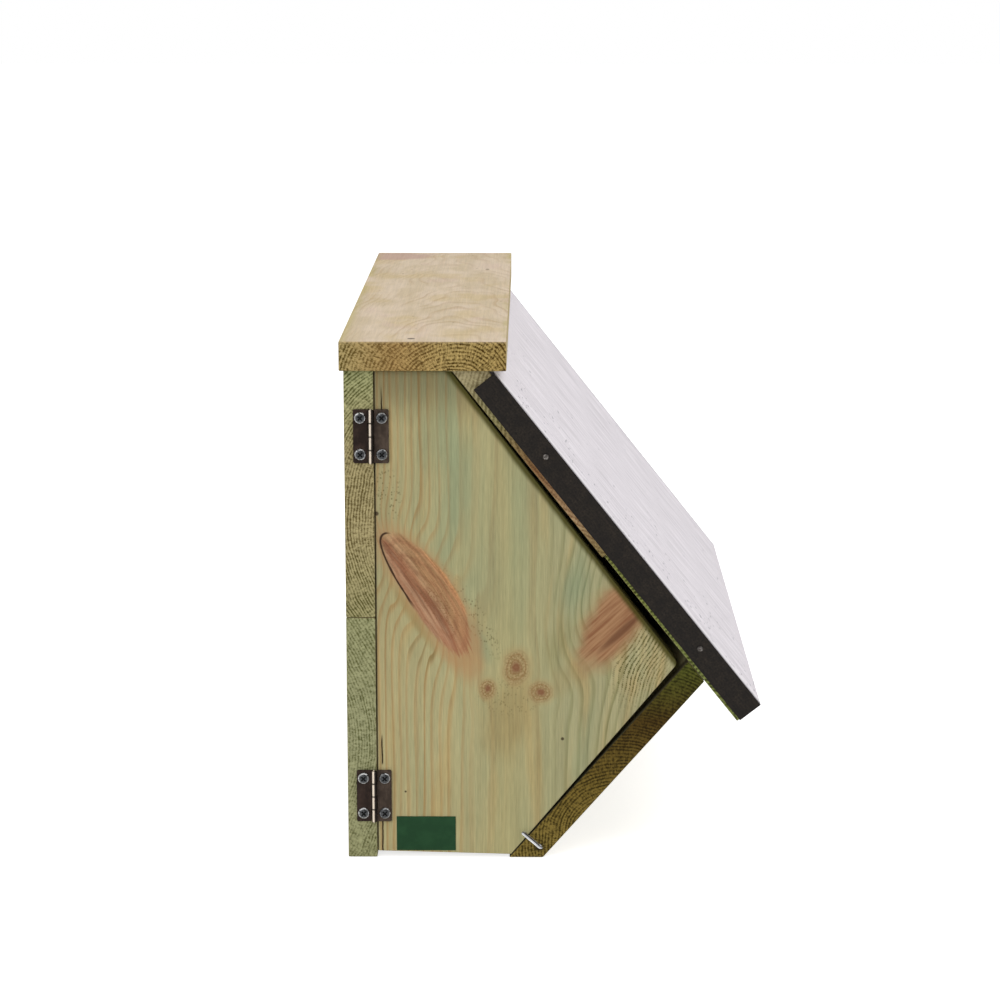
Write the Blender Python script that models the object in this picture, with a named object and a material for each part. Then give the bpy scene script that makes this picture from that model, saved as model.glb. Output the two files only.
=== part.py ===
"""Swift nest box: a wooden box of sloping boards with a hinged inspection door at one end.

Metres, +Z up. X runs outward from the wall, Y along the box, and the door is at the -Y end.
The section of the box is drawn in (x, z) with x counted from the wall face of the back boards.
The finished box stands on z = 0 with the middle of its overall size above the origin.
"""
import math

import bmesh
import bpy
from mathutils import Matrix, Vector

# Fits shared by all pieces
SEAM = 0.0003                   # room left between two pieces that touch
CUT_OVERRUN = 0.002             # how far a cutter runs past the face that it cuts
EDGE_ROUND = 0.0006             # softened arris of the sawn boards
ARRIS_STEPS = 2
ARRIS_PROFILE = 0.5             # round
ARRIS_ANGLE = math.radians(20)  # edges sharper than this are softened
SMOOTH_ANGLE = math.radians(35)
ROUND_SIDES = 16
SMALL_SIDES = 12                # nails, screws and their holes

# Length of the box
BODY_LENGTH = 0.420             # over the ends of the back, roof and lower boards
PLANK_END_OVERHANG = 0.005      # top plank past the board ends, each end

# Back, two boards one above the other
BACK_THICKNESS = 0.017
BACK_BOARD_HEIGHT = 0.145

# Top plank
PLANK_THICKNESS = 0.017
PLANK_WIDTH = 0.095
PLANK_BACK_OVERHANG = 0.0023
PLANK_FRONT_OVERHANG = 0.0081   # past the line where the roof meets the plank

# Roof
ROOF_ANGLE = math.radians(51.5)
ROOF_SLOPE_LENGTH = 0.2503      # outer face of the cover, from plank to eave
COVER_THICKNESS = 0.0018
ROOF_JOINT_DISTANCE = 0.125     # from the plank down the slope to the joint of the two boards
EAVE_OVERHANG = 0.0308          # of the roof past the lower board's outer face, along the slope
UPPER_ROOF_THICKNESS = 0.0162
LOWER_ROOF_THICKNESS = 0.015

# Dark strips along the ends of the roof boards
STRIP_THICKNESS = 0.002
STRIP_DEPTH = 0.0151
STRIP_HEAD_INSET = 0.0023
STRIP_NAIL_DISTANCES = (0.0579, 0.2018)
STRIP_NAIL_DEPTH = 0.0069
NAIL_HEAD_RADIUS = 0.0016
NAIL_HEAD_THICKNESS = 0.0006
NAIL_RADIUS = 0.0007
NAIL_LENGTH = 0.020
NAIL_POINT = 0.002

# Lower sloping board with the entrance
LOWER_SLOPE_ANGLE = math.radians(49.0)
LOWER_BOARD_THICKNESS = 0.015
ENTRANCE_WIDTH = 0.065
ENTRANCE_HEIGHT = 0.032
ENTRANCE_HEIGHT_SHARE = 0.5     # centre of the hole along the board, up from its foot
ENTRANCE_OFFSET = 0.110         # centre of the hole from the middle, towards the far end
ENTRANCE_ARC_STEPS = 8

# Floor and far end panel
FLOOR_THICKNESS = 0.015
END_PANEL_THICKNESS = 0.015
DOOR_STOP_GAP = 0.0006          # from the closed door to the end of the floor

# Door
DOOR_THICKNESS = 0.015
DOOR_SIDE_GAP = 0.0005
DOOR_TOP_GAP = 0.0007
DOOR_HEAD_GAP = 0.0007          # level gap to the roof at the door's top corner
DOOR_NOSE_ROOF_GAP = 0.0057     # square gaps at the outermost corner, to the lower roof board
DOOR_NOSE_BOARD_GAP = 0.0038    # and to the board with the entrance
DOOR_NOSE_RADIUS = 0.0030
DOOR_NOSE_STEPS = 4
DOOR_FOOT_GAP = 0.00045         # level gap to the entrance board at the bottom corner
DOOR_BOTTOM_LIFT = 0.0038       # foot of the door above the base, hinge side
DOOR_FOOT_LIFT = 0.0019         # and at the bottom corner
SWING_CLEARANCE = 0.0004

# Hinges
HINGE_TOP_DISTANCE = 0.0382     # middle of the upper hinge below the top of the back
HINGE_FOOT_DISTANCE = 0.0379    # middle of the lower hinge above the base
HINGE_HEIGHT = 0.0312
LEAF_WIDTH = 0.0102
LEAF_THICKNESS = 0.0008
LEAF_CORNER = 0.0008
LEAF_CORNER_STEPS = 2
HINGE_AXIS_INSET = 0.0015       # axis back from the inner face of the back boards
KNUCKLE_RADIUS = 0.0016
KNUCKLE_LIFT = 0.0002           # knuckles off the plane of the leaves' backs
KNUCKLE_COUNT = 4
TAB_END_SHARE = 0.3             # leaf's tab ends this far short of the axis, of the knuckle's radius
PIN_RADIUS = 0.0007
PIN_CLEARANCE = 0.00025
PIN_STAND = 0.0004              # pin past the leaves, each end
HINGE_SCREW_OFFSET = 0.0062     # screw centres from the axis
HINGE_SCREW_SPREAD = 0.0212     # screw centres of one leaf, apart

# Cross-recessed screws of the hinges
HINGE_SCREW_HEAD_RADIUS = 0.0033
HINGE_SCREW_HEAD_HEIGHT = 0.0013
HINGE_SCREW_RADIUS = 0.00125
HINGE_SCREW_LENGTH = 0.012
DOME_SHARES = ((0.0, 1.0), (0.55, 0.86), (0.88, 0.48), (1.0, 0.12), (1.0, 0.0))
RECESS_LENGTH_SHARE = 1.05      # of the head's radius
RECESS_WIDTH_SHARE = 0.28       # of the head's radius
RECESS_DEPTH_SHARE = 0.65       # of the head's height

# Turn hook
HOOK_PIVOT_RISE = 0.0070        # shank above the base
HOOK_PIVOT_DEPTH = 0.0054       # shank in from the outer face of the lower board
HOOK_WIRE_RADIUS = 0.00135
HOOK_STAND_OFF = 0.0030         # arm's centre line above the face of the boards
HOOK_BEND_RADIUS = 0.0022
HOOK_ARM = 0.0150
HOOK_SHANK = 0.014
HOOK_BEND_STEPS = 6
HOOK_BEVEL_STEPS = 4
HOOK_TIP_STEPS = 3

# Sticker
STICKER_WIDTH = 0.0346
STICKER_HEIGHT = 0.0208
STICKER_THICKNESS = 0.0002
STICKER_SEAM = 0.0001
STICKER_SIDE_DISTANCE = 0.0110  # from the hinge side of the door
STICKER_FOOT_DISTANCE = 0.0005  # from the lowest edge of the door there

# Assembly screws, countersunk
SCREW_HEAD_RADIUS = 0.0038
SCREW_HEAD_DEPTH = 0.0026
SCREW_RIM = 0.0004
SCREW_RADIUS = 0.0019
SCREW_POINT = 0.004
SCREW_BITE = 0.018              # into the second board
SCREW_SINK = 0.0003             # head below the face
BACK_SCREW_SHARES = (0.3, 0.72)
FLOOR_SCREW_SHARES = (-0.30, 0.0, 0.30)
SIDE_SCREW_SHARES = (0.32, 0.72)
END_SCREW_SHARES = (0.28, 0.72)
EAVE_SCREW_SHARES = (-0.42, 0.0, 0.42)
ROOF_SCREW_SHARE = 0.5

# Worked out from the sizes above
BACK_HEIGHT = 2 * BACK_BOARD_HEIGHT
HALF_BODY = BODY_LENGTH / 2
HALF_PLANK = HALF_BODY + PLANK_END_OVERHANG
FACE_Y = -HALF_BODY
ROOF_START = PLANK_WIDTH - PLANK_BACK_OVERHANG - PLANK_FRONT_OVERHANG
BOARD_DEPTH = COVER_THICKNESS + SEAM
UPPER_ROOF_DEPTH = BOARD_DEPTH + UPPER_ROOF_THICKNESS
LOWER_ROOF_DEPTH = BOARD_DEPTH + LOWER_ROOF_THICKNESS
EAVE_X = ROOF_START + ROOF_SLOPE_LENGTH * math.cos(ROOF_ANGLE)
LOWER_TOP_ALONG = ROOF_SLOPE_LENGTH - EAVE_OVERHANG
LOWER_TOP_X = ROOF_START + LOWER_TOP_ALONG * math.cos(ROOF_ANGLE) - LOWER_ROOF_DEPTH * math.sin(ROOF_ANGLE)
LOWER_TOP_Z = BACK_HEIGHT - LOWER_TOP_ALONG * math.sin(ROOF_ANGLE) - LOWER_ROOF_DEPTH * math.cos(ROOF_ANGLE)
LOWER_BOARD_FOOT = LOWER_TOP_X - LOWER_TOP_Z / math.tan(LOWER_SLOPE_ANGLE)
MIDDLE_X = (EAVE_X - PLANK_BACK_OVERHANG) / 2
HINGE_AXIS_X = BACK_THICKNESS - HINGE_AXIS_INSET
HINGE_AXIS_Y = FACE_Y - SEAM - KNUCKLE_LIFT - KNUCKLE_RADIUS
HINGE_MIDDLES = (BACK_HEIGHT - HINGE_TOP_DISTANCE, HINGE_FOOT_DISTANCE)
DOOR_TOP = BACK_HEIGHT - DOOR_TOP_GAP
DOOR_SIDE_X = BACK_THICKNESS + DOOR_SIDE_GAP
LEAF_FACE_Y = FACE_Y - SEAM - LEAF_THICKNESS
INNER_END_Y = HALF_BODY - END_PANEL_THICKNESS


def clear_scene():
    for item in list(bpy.data.objects):
        bpy.data.objects.remove(item, do_unlink=True)


def principled(name, colour, roughness, metallic=0.0):
    material = bpy.data.materials.new(name)
    material.use_nodes = True
    shader = material.node_tree.nodes["Principled BSDF"]
    shader.inputs["Base Color"].default_value = (*colour, 1.0)
    shader.inputs["Roughness"].default_value = roughness
    shader.inputs["Metallic"].default_value = metallic
    return material


def add_empty(name, place, parent=None):
    empty = bpy.data.objects.new(name, None)
    empty.location = place
    empty.parent = parent
    bpy.context.collection.objects.link(empty)
    return empty


def add_mesh(name, shape, material, parent, pivot=(0, 0, 0)):
    """Turn a bmesh in section coordinates into an object whose origin is at pivot."""
    bmesh.ops.translate(shape, verts=shape.verts, vec=-Vector(pivot))
    mesh = bpy.data.meshes.new(name)
    shape.to_mesh(mesh)
    shape.free()
    mesh.materials.append(material)
    item = bpy.data.objects.new(name, mesh)
    bpy.context.collection.objects.link(item)
    if parent is not None:
        item.parent = parent
        item.location = Vector(pivot) - Vector(parent["section_place"])
    return item


def section_object(name, shape, material):
    """A helper solid given in section coordinates, set where the box stands."""
    item = add_mesh(name, shape, material, None)
    item.location = (-MIDDLE_X, 0, 0)
    return item


def shade_round(item):
    item.data.shade_smooth()
    item.data.set_sharp_from_angle(angle=SMOOTH_ANGLE)


def combine(item, cutter, operation):
    """Apply one exact Boolean and delete the cutter."""
    cutter.hide_render = True
    cutter.display_type = "WIRE"
    modifier = item.modifiers.new(operation.title(), "BOOLEAN")
    modifier.operation = operation
    modifier.solver = "EXACT"
    modifier.object = cutter
    bpy.context.view_layer.update()
    graph = bpy.context.evaluated_depsgraph_get()
    result = bpy.data.meshes.new_from_object(item.evaluated_get(graph))
    item.modifiers.clear()
    item.data = result
    bpy.data.objects.remove(cutter, do_unlink=True)


def roof_point(along, depth):
    """Section point at a distance down the slope from the plank and a depth below the cover's face."""
    x = ROOF_START + along * math.cos(ROOF_ANGLE) - depth * math.sin(ROOF_ANGLE)
    z = BACK_HEIGHT - along * math.sin(ROOF_ANGLE) - depth * math.cos(ROOF_ANGLE)
    return x, z


def roof_along_at(height, depth):
    return (BACK_HEIGHT - height - depth * math.cos(ROOF_ANGLE)) / math.sin(ROOF_ANGLE)


def roof_x_at(height, depth):
    return roof_point(roof_along_at(height, depth), depth)[0]


def lower_x_at(height, depth):
    """Section x of the lower board at a height, at a depth in from its outer face."""
    slant = depth / math.sin(LOWER_SLOPE_ANGLE)
    return LOWER_BOARD_FOOT + height / math.tan(LOWER_SLOPE_ANGLE) - slant


def lower_point(along, depth):
    """Section point at a distance up the lower board from its foot and a depth in from its outer face."""
    x = LOWER_BOARD_FOOT + along * math.cos(LOWER_SLOPE_ANGLE) - depth * math.sin(LOWER_SLOPE_ANGLE)
    z = along * math.sin(LOWER_SLOPE_ANGLE) + depth * math.cos(LOWER_SLOPE_ANGLE)
    return x, z


def crossing(roof_depth, lower_depth):
    """Where a line parallel to the roof meets a line parallel to the lower board."""
    roof_run = 1 / math.tan(ROOF_ANGLE)
    lower_run = 1 / math.tan(LOWER_SLOPE_ANGLE)
    gap = roof_x_at(0, roof_depth) - lower_x_at(0, lower_depth)
    height = gap / (roof_run + lower_run)
    return lower_x_at(height, lower_depth), height


def fillet(before, corner, after, radius, steps):
    """Points of an arc that rounds one corner of an outline."""
    a = (Vector(before) - Vector(corner)).normalized()
    b = (Vector(after) - Vector(corner)).normalized()
    half = a.angle(b) / 2
    reach = radius / math.tan(half)
    centre = Vector(corner) + (a + b).normalized() * (radius / math.sin(half))
    start = Vector(corner) + a * reach - centre
    end = Vector(corner) + b * reach - centre
    turn = math.pi - 2 * half
    sign = 1 if start.x * end.y - start.y * end.x > 0 else -1
    points = []
    for step in range(steps + 1):
        angle = sign * turn * step / steps
        cosine, sine = math.cos(angle), math.sin(angle)
        points.append((centre.x + start.x * cosine - start.y * sine,
                       centre.y + start.x * sine + start.y * cosine))
    return points


def loft(outline_a, y_a, outline_b, y_b):
    """Closed solid between two outlines of the section, at two places along the box."""
    shape = bmesh.new()
    ring_a = [shape.verts.new((x, y_a, z)) for x, z in outline_a]
    ring_b = [shape.verts.new((x, y_b, z)) for x, z in outline_b]
    shape.faces.new(ring_a)
    shape.faces.new(list(reversed(ring_b)))
    count = len(ring_a)
    for index in range(count):
        following = (index + 1) % count
        shape.faces.new((ring_a[index], ring_b[index], ring_b[following], ring_a[following]))
    bmesh.ops.recalc_face_normals(shape, faces=shape.faces)
    return shape


def soften(shape):
    """Round the arrises of a board."""
    sharp = [edge for edge in shape.edges if edge.calc_face_angle(0) > ARRIS_ANGLE]
    bmesh.ops.bevel(shape, geom=sharp, offset=EDGE_ROUND, segments=ARRIS_STEPS, profile=ARRIS_PROFILE,
                    affect="EDGES", clamp_overlap=True)
    return shape


def board(name, outline, y_from, y_to, material, parent):
    return add_mesh(name, soften(loft(outline, y_from, outline, y_to)), material, parent)


def turned(profile, sides, hollow=False):
    """Solid of revolution about +Z. A solid one's (radius, height) pairs start and end on the axis."""
    shape = bmesh.new()
    rings = []
    for radius, height in profile:
        if radius == 0:
            rings.append([shape.verts.new((0, 0, height))])
            continue
        ring = []
        for side in range(sides):
            angle = 2 * math.pi * side / sides
            ring.append(shape.verts.new((radius * math.cos(angle), radius * math.sin(angle), height)))
        rings.append(ring)
    if hollow:
        rings.append(rings[0])
    for low, high in zip(rings, rings[1:]):
        for side in range(sides):
            following = (side + 1) % sides
            corners = [low[side % len(low)], low[following % len(low)],
                       high[following % len(high)], high[side % len(high)]]
            corners = [corner for place, corner in enumerate(corners) if corner not in corners[:place]]
            shape.faces.new(corners)
    bmesh.ops.recalc_face_normals(shape, faces=shape.faces)
    return shape


def shank_hole(radius, length):
    """Profile of a plain hole with clearance for a shank of this radius and length."""
    foot = -length - SEAM
    return [(0, foot), (radius + SEAM, foot), (radius + SEAM, CUT_OVERRUN), (0, CUT_OVERRUN)]


def facing(place, outward):
    """Matrix that stands a turned piece at a place with its +Z along outward."""
    return Matrix.Translation(place) @ Vector(outward).to_track_quat("Z", "Y").to_matrix().to_4x4()


def merge(shapes):
    """Several bmeshes as one, for a cutter with many separate tools."""
    joined = bmesh.new()
    for shape in shapes:
        mesh = bpy.data.meshes.new("tool")
        shape.to_mesh(mesh)
        shape.free()
        joined.from_mesh(mesh)
        bpy.data.meshes.remove(mesh)
    return joined


def block(size, centre):
    shape = bmesh.new()
    bmesh.ops.create_cube(shape, size=1, matrix=Matrix.Translation(centre) @ Matrix.Diagonal((*size, 1)))
    return shape


def cross_recess(head_radius, top, depth, turn):
    """Two crossed slots for cutting a screw head, open at the top."""
    length = head_radius * RECESS_LENGTH_SHARE
    width = head_radius * RECESS_WIDTH_SHARE
    height = depth + CUT_OVERRUN
    centre = (0, 0, top - depth + height / 2)
    slots = []
    for quarter in (0, 1):
        slot = block((length, width, height), centre)
        bmesh.ops.rotate(slot, verts=slot.verts, cent=(0, 0, 0),
                         matrix=Matrix.Rotation(turn + quarter * math.pi / 2, 3, "Z"))
        slots.append(slot)
    return slots


def cut_recess(item, head_radius, top, depth, turn=0.0):
    for number, slot in enumerate(cross_recess(head_radius, top, depth, turn)):
        cutter = add_mesh(f"slot_{number}", slot, item.data.materials[0], None)
        combine(item, cutter, "DIFFERENCE")


def place_copy(name, source, matrix, parent, pivot=(0, 0, 0)):
    """A copy of a small piece modelled at the origin, set at a matrix in section coordinates."""
    shape = bmesh.new()
    shape.from_mesh(source.data)
    shape.transform(matrix)
    item = add_mesh(name, shape, source.data.materials[0], parent, pivot)
    shade_round(item)
    return item


class Box:
    """The boards by name, and the holes that their fasteners need."""

    def __init__(self):
        self.parts = {}
        self.holes = {}

    def add(self, item):
        self.parts[item.name] = item
        return item

    def drill(self, names, profile, matrix, sides):
        for name in names:
            shape = turned(profile, sides)
            shape.transform(matrix)
            self.holes.setdefault(name, []).append(shape)

    def cut_holes(self):
        for name, shapes in self.holes.items():
            item = self.parts[name]
            cutter = section_object(f"{name}_tools", merge(shapes), item.data.materials[0])
            combine(item, cutter, "DIFFERENCE")


def make_boards(box, wood, root):
    """Back, top plank, roof boards, lower board, floor and far end panel."""
    upper_foot = BACK_BOARD_HEIGHT + SEAM / 2
    box.add(board("back_board_lower", rectangle(0, 0, BACK_THICKNESS, BACK_BOARD_HEIGHT - SEAM / 2),
                  -HALF_BODY, HALF_BODY, wood, root))
    box.add(board("back_board_upper", rectangle(0, upper_foot, BACK_THICKNESS, BACK_HEIGHT - SEAM),
                  -HALF_BODY, HALF_BODY, wood, root))
    plank_x = -PLANK_BACK_OVERHANG
    box.add(board("top_plank",
                  rectangle(plank_x, BACK_HEIGHT, plank_x + PLANK_WIDTH, BACK_HEIGHT + PLANK_THICKNESS),
                  -HALF_PLANK, HALF_PLANK, wood, root))
    under_plank = BACK_HEIGHT - SEAM
    upper = [roof_point(roof_along_at(under_plank, BOARD_DEPTH), BOARD_DEPTH),
             roof_point(ROOF_JOINT_DISTANCE - SEAM / 2, BOARD_DEPTH),
             roof_point(ROOF_JOINT_DISTANCE - SEAM / 2, UPPER_ROOF_DEPTH),
             roof_point(roof_along_at(under_plank, UPPER_ROOF_DEPTH), UPPER_ROOF_DEPTH)]
    box.add(board("roof_board_upper", upper, -HALF_BODY, HALF_BODY, wood, root))
    lower = [roof_point(ROOF_JOINT_DISTANCE + SEAM / 2, BOARD_DEPTH),
             roof_point(ROOF_SLOPE_LENGTH, BOARD_DEPTH),
             roof_point(ROOF_SLOPE_LENGTH, LOWER_ROOF_DEPTH),
             roof_point(ROOF_JOINT_DISTANCE + SEAM / 2, LOWER_ROOF_DEPTH)]
    box.add(board("roof_board_lower", lower, -HALF_BODY, HALF_BODY, wood, root))
    slope = [(LOWER_BOARD_FOOT, 0),
             crossing(LOWER_ROOF_DEPTH + SEAM, 0),
             crossing(LOWER_ROOF_DEPTH + SEAM, LOWER_BOARD_THICKNESS),
             (lower_x_at(0, LOWER_BOARD_THICKNESS), 0)]
    box.add(board("entrance_board", slope, -HALF_BODY, HALF_BODY, wood, root))
    inner = LOWER_BOARD_THICKNESS + SEAM
    floor = [(BACK_THICKNESS + SEAM, 0),
             (lower_x_at(0, inner), 0),
             (lower_x_at(FLOOR_THICKNESS, inner), FLOOR_THICKNESS),
             (BACK_THICKNESS + SEAM, FLOOR_THICKNESS)]
    box.add(board("floor_board", floor, FACE_Y + DOOR_THICKNESS + DOOR_STOP_GAP,
                  INNER_END_Y - SEAM, wood, root))
    panel = [(BACK_THICKNESS + SEAM, 0),
             (lower_x_at(0, inner), 0),
             crossing(LOWER_ROOF_DEPTH + SEAM, inner),
             roof_point(ROOF_JOINT_DISTANCE + SEAM, LOWER_ROOF_DEPTH + SEAM),
             roof_point(ROOF_JOINT_DISTANCE + SEAM, UPPER_ROOF_DEPTH + SEAM),
             (roof_x_at(under_plank, UPPER_ROOF_DEPTH + SEAM), under_plank),
             (BACK_THICKNESS + SEAM, under_plank)]
    box.add(board("end_panel", panel, INNER_END_Y, HALF_BODY, wood, root))


def rectangle(x_low, z_low, x_high, z_high):
    return [(x_low, z_low), (x_high, z_low), (x_high, z_high), (x_low, z_high)]


def make_cover(box, sheet, root):
    under_plank = BACK_HEIGHT - SEAM
    outline = [roof_point(roof_along_at(under_plank, 0), 0),
               roof_point(ROOF_SLOPE_LENGTH, 0),
               roof_point(ROOF_SLOPE_LENGTH, COVER_THICKNESS),
               roof_point(roof_along_at(under_plank, COVER_THICKNESS), COVER_THICKNESS)]
    box.add(add_mesh("roof_cover", loft(outline, -HALF_BODY, outline, HALF_BODY), sheet, root))


def make_strips(box, strip_material, nail_material, root):
    """A dark strip over the roof's board ends at each end, each held by its nails."""
    outline = [roof_point(STRIP_HEAD_INSET, 0), roof_point(ROOF_SLOPE_LENGTH, 0),
               roof_point(ROOF_SLOPE_LENGTH, STRIP_DEPTH), roof_point(STRIP_HEAD_INSET, STRIP_DEPTH)]
    head = [(0, -NAIL_LENGTH), (NAIL_RADIUS, -NAIL_LENGTH + NAIL_POINT), (NAIL_RADIUS, 0),
            (NAIL_HEAD_RADIUS, 0), (NAIL_HEAD_RADIUS, NAIL_HEAD_THICKNESS / 2),
            (NAIL_HEAD_RADIUS / 2, NAIL_HEAD_THICKNESS), (0, NAIL_HEAD_THICKNESS)]
    hole = shank_hole(NAIL_RADIUS, NAIL_LENGTH)
    for end, side in (("near", -1), ("far", 1)):
        inner = side * (HALF_BODY + SEAM)
        outer = side * (HALF_BODY + SEAM + STRIP_THICKNESS)
        box.add(add_mesh(f"edge_strip_{end}", loft(outline, inner, outline, outer), strip_material, root))
        boards = ("roof_board_upper", "roof_board_lower")
        for number, (distance, carrier) in enumerate(zip(STRIP_NAIL_DISTANCES, boards), 1):
            x, z = roof_point(distance, STRIP_NAIL_DEPTH)
            matrix = facing((x, outer + side * SEAM, z), (0, side, 0))
            shape = turned(head, SMALL_SIDES)
            shape.transform(matrix)
            nail = add_mesh(f"strip_nail_{end}_{number}", shape, nail_material, root)
            shade_round(nail)
            box.drill((f"edge_strip_{end}", carrier), hole, matrix, SMALL_SIDES)


def cut_entrance(box):
    """The oval hole through the lower board, square to its face."""
    half_round = ENTRANCE_HEIGHT / 2
    straight = ENTRANCE_WIDTH / 2 - half_round
    length = crossing(LOWER_ROOF_DEPTH, 0)[1] / math.sin(LOWER_SLOPE_ANGLE)
    low = -CUT_OVERRUN
    high = LOWER_BOARD_THICKNESS + CUT_OVERRUN
    shape = bmesh.new()
    rings = []
    for depth in (low, high):
        ring = []
        for side in (1, -1):
            for step in range(ENTRANCE_ARC_STEPS + 1):
                angle = side * math.pi / 2 * (1 - 2 * step / ENTRANCE_ARC_STEPS)
                along = length * ENTRANCE_HEIGHT_SHARE + half_round * math.sin(angle)
                y = ENTRANCE_OFFSET + side * (straight + half_round * math.cos(angle))
                x, z = lower_point(along, depth)
                ring.append(shape.verts.new((x, y, z)))
        rings.append(ring)
    shape.faces.new(rings[0])
    shape.faces.new(list(reversed(rings[1])))
    count = len(rings[0])
    for index in range(count):
        following = (index + 1) % count
        shape.faces.new((rings[0][index], rings[1][index], rings[1][following], rings[0][following]))
    bmesh.ops.recalc_face_normals(shape, faces=shape.faces)
    box.holes.setdefault("entrance_board", []).append(shape)


def swing_limit(boundary, reach):
    """How far out the door may reach at a depth behind the hinge axis and still swing past the frame."""
    radius = boundary - SWING_CLEARANCE - HINGE_AXIS_X
    return HINGE_AXIS_X + math.sqrt(radius ** 2 - reach ** 2)


def make_door(box, wood, root, axis):
    """Five-sided door, its two sloping edges cut back behind so that it can swing out."""
    reach = FACE_Y + DOOR_THICKNESS - HINGE_AXIS_Y
    nose = crossing(LOWER_ROOF_DEPTH + DOOR_NOSE_ROOF_GAP, LOWER_BOARD_THICKNESS + DOOR_NOSE_BOARD_GAP)
    limits = (roof_x_at(DOOR_TOP, UPPER_ROOF_DEPTH),
              lower_x_at(nose[1], LOWER_BOARD_THICKNESS),
              lower_x_at(DOOR_FOOT_LIFT, LOWER_BOARD_THICKNESS))
    front = [(limits[0] - DOOR_HEAD_GAP, DOOR_TOP),
             nose,
             (limits[2] - DOOR_FOOT_GAP, DOOR_FOOT_LIFT)]
    rear = [(min(x, swing_limit(limit, reach)), z) for (x, z), limit in zip(front, limits)]
    outlines = []
    for head, nose, foot in (front, rear):
        corner = fillet(head, nose, foot, DOOR_NOSE_RADIUS, DOOR_NOSE_STEPS)
        outlines.append([(DOOR_SIDE_X, DOOR_TOP), head, *corner, foot, (DOOR_SIDE_X, DOOR_BOTTOM_LIFT)])
    shape = soften(loft(outlines[0], FACE_Y, outlines[1], FACE_Y + DOOR_THICKNESS))
    box.add(add_mesh("door_panel", shape, wood, axis, axis["section_place"]))


def make_hinge(box, word, centre, steel, root, axis):
    """Butt hinge: a frame leaf, a door leaf that turns with the door, and the pin."""
    pitch = HINGE_HEIGHT / KNUCKLE_COUNT
    half = HINGE_HEIGHT / 2
    bore = PIN_RADIUS + PIN_CLEARANCE
    for kind, side, first in (("frame", -1, 0), ("door", 1, 1)):
        inner = []
        tubes = []
        for row in range(KNUCKLE_COUNT):
            high = centre + half - row * pitch
            low = high - pitch
            own = row % 2 == first
            step = SEAM if own else -SEAM
            tab_top = high - (step if row > 0 else 0)
            tab_bottom = low + (step if row < KNUCKLE_COUNT - 1 else 0)
            short = KNUCKLE_RADIUS * TAB_END_SHARE if own else KNUCKLE_RADIUS + SEAM
            x = HINGE_AXIS_X + side * short
            inner += [(x, tab_top), (x, tab_bottom)]
            if own:
                top = high - SEAM / 2
                bottom = low + SEAM / 2
                tube = turned([(bore, bottom), (KNUCKLE_RADIUS, bottom), (KNUCKLE_RADIUS, top), (bore, top)],
                              ROUND_SIDES, hollow=True)
                bmesh.ops.translate(tube, verts=tube.verts, vec=(HINGE_AXIS_X, HINGE_AXIS_Y, 0))
                tubes.append(tube)
        outer_x = HINGE_AXIS_X + side * LEAF_WIDTH
        foot = (outer_x, centre - half)
        head = (outer_x, centre + half)
        outline = [*inner,
                   *fillet(inner[-1], foot, head, LEAF_CORNER, LEAF_CORNER_STEPS),
                   *fillet(foot, head, inner[0], LEAF_CORNER, LEAF_CORNER_STEPS)]
        parent = root if kind == "frame" else axis
        pivot = (0, 0, 0) if kind == "frame" else axis["section_place"]
        leaf = add_mesh(f"hinge_{kind}_leaf_{word}", loft(outline, FACE_Y - SEAM, outline, LEAF_FACE_Y),
                        steel, parent, pivot)
        combine(leaf, section_object("knuckles", merge(tubes), steel), "UNION")
        box.add(leaf)
    low = centre - half - PIN_STAND
    high = centre + half + PIN_STAND
    pin = turned([(0, low), (PIN_RADIUS / 2, low), (PIN_RADIUS, low + PIN_RADIUS / 2),
                  (PIN_RADIUS, high - PIN_RADIUS / 2), (PIN_RADIUS / 2, high), (0, high)], ROUND_SIDES)
    bmesh.ops.translate(pin, verts=pin.verts, vec=(HINGE_AXIS_X, HINGE_AXIS_Y, 0))
    shade_round(add_mesh(f"hinge_pin_{word}", pin, steel, root))


def make_hinge_screws(box, material, root, axis):
    dome = [(radius * HINGE_SCREW_HEAD_RADIUS, height * HINGE_SCREW_HEAD_HEIGHT)
            for radius, height in DOME_SHARES]
    profile = [(0, -HINGE_SCREW_LENGTH), (HINGE_SCREW_RADIUS, -HINGE_SCREW_LENGTH + 2 * HINGE_SCREW_RADIUS),
               (HINGE_SCREW_RADIUS, 0), *reversed(dome)]
    hole = shank_hole(HINGE_SCREW_RADIUS, HINGE_SCREW_LENGTH)
    master = add_mesh("screw", turned(profile, ROUND_SIDES), material, None)
    cut_recess(master, HINGE_SCREW_HEAD_RADIUS, HINGE_SCREW_HEAD_HEIGHT,
               HINGE_SCREW_HEAD_HEIGHT * RECESS_DEPTH_SHARE, math.pi / 4)
    for word, centre in zip(("upper", "lower"), HINGE_MIDDLES):
        back = "back_board_upper" if centre > BACK_BOARD_HEIGHT else "back_board_lower"
        for kind, side, carrier in (("frame", -1, back), ("door", 1, "door_panel")):
            for number, end in ((1, 1), (2, -1)):
                place = (HINGE_AXIS_X + side * HINGE_SCREW_OFFSET, LEAF_FACE_Y - SEAM,
                         centre + end * HINGE_SCREW_SPREAD / 2)
                matrix = facing(place, (0, -1, 0))
                parent = root if kind == "frame" else axis
                pivot = (0, 0, 0) if kind == "frame" else axis["section_place"]
                place_copy(f"hinge_screw_{word}_{kind}_{number}", master, matrix, parent, pivot)
                box.drill((carrier, f"hinge_{kind}_leaf_{word}"), hole, matrix, SMALL_SIDES)
    bpy.data.objects.remove(master, do_unlink=True)


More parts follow.
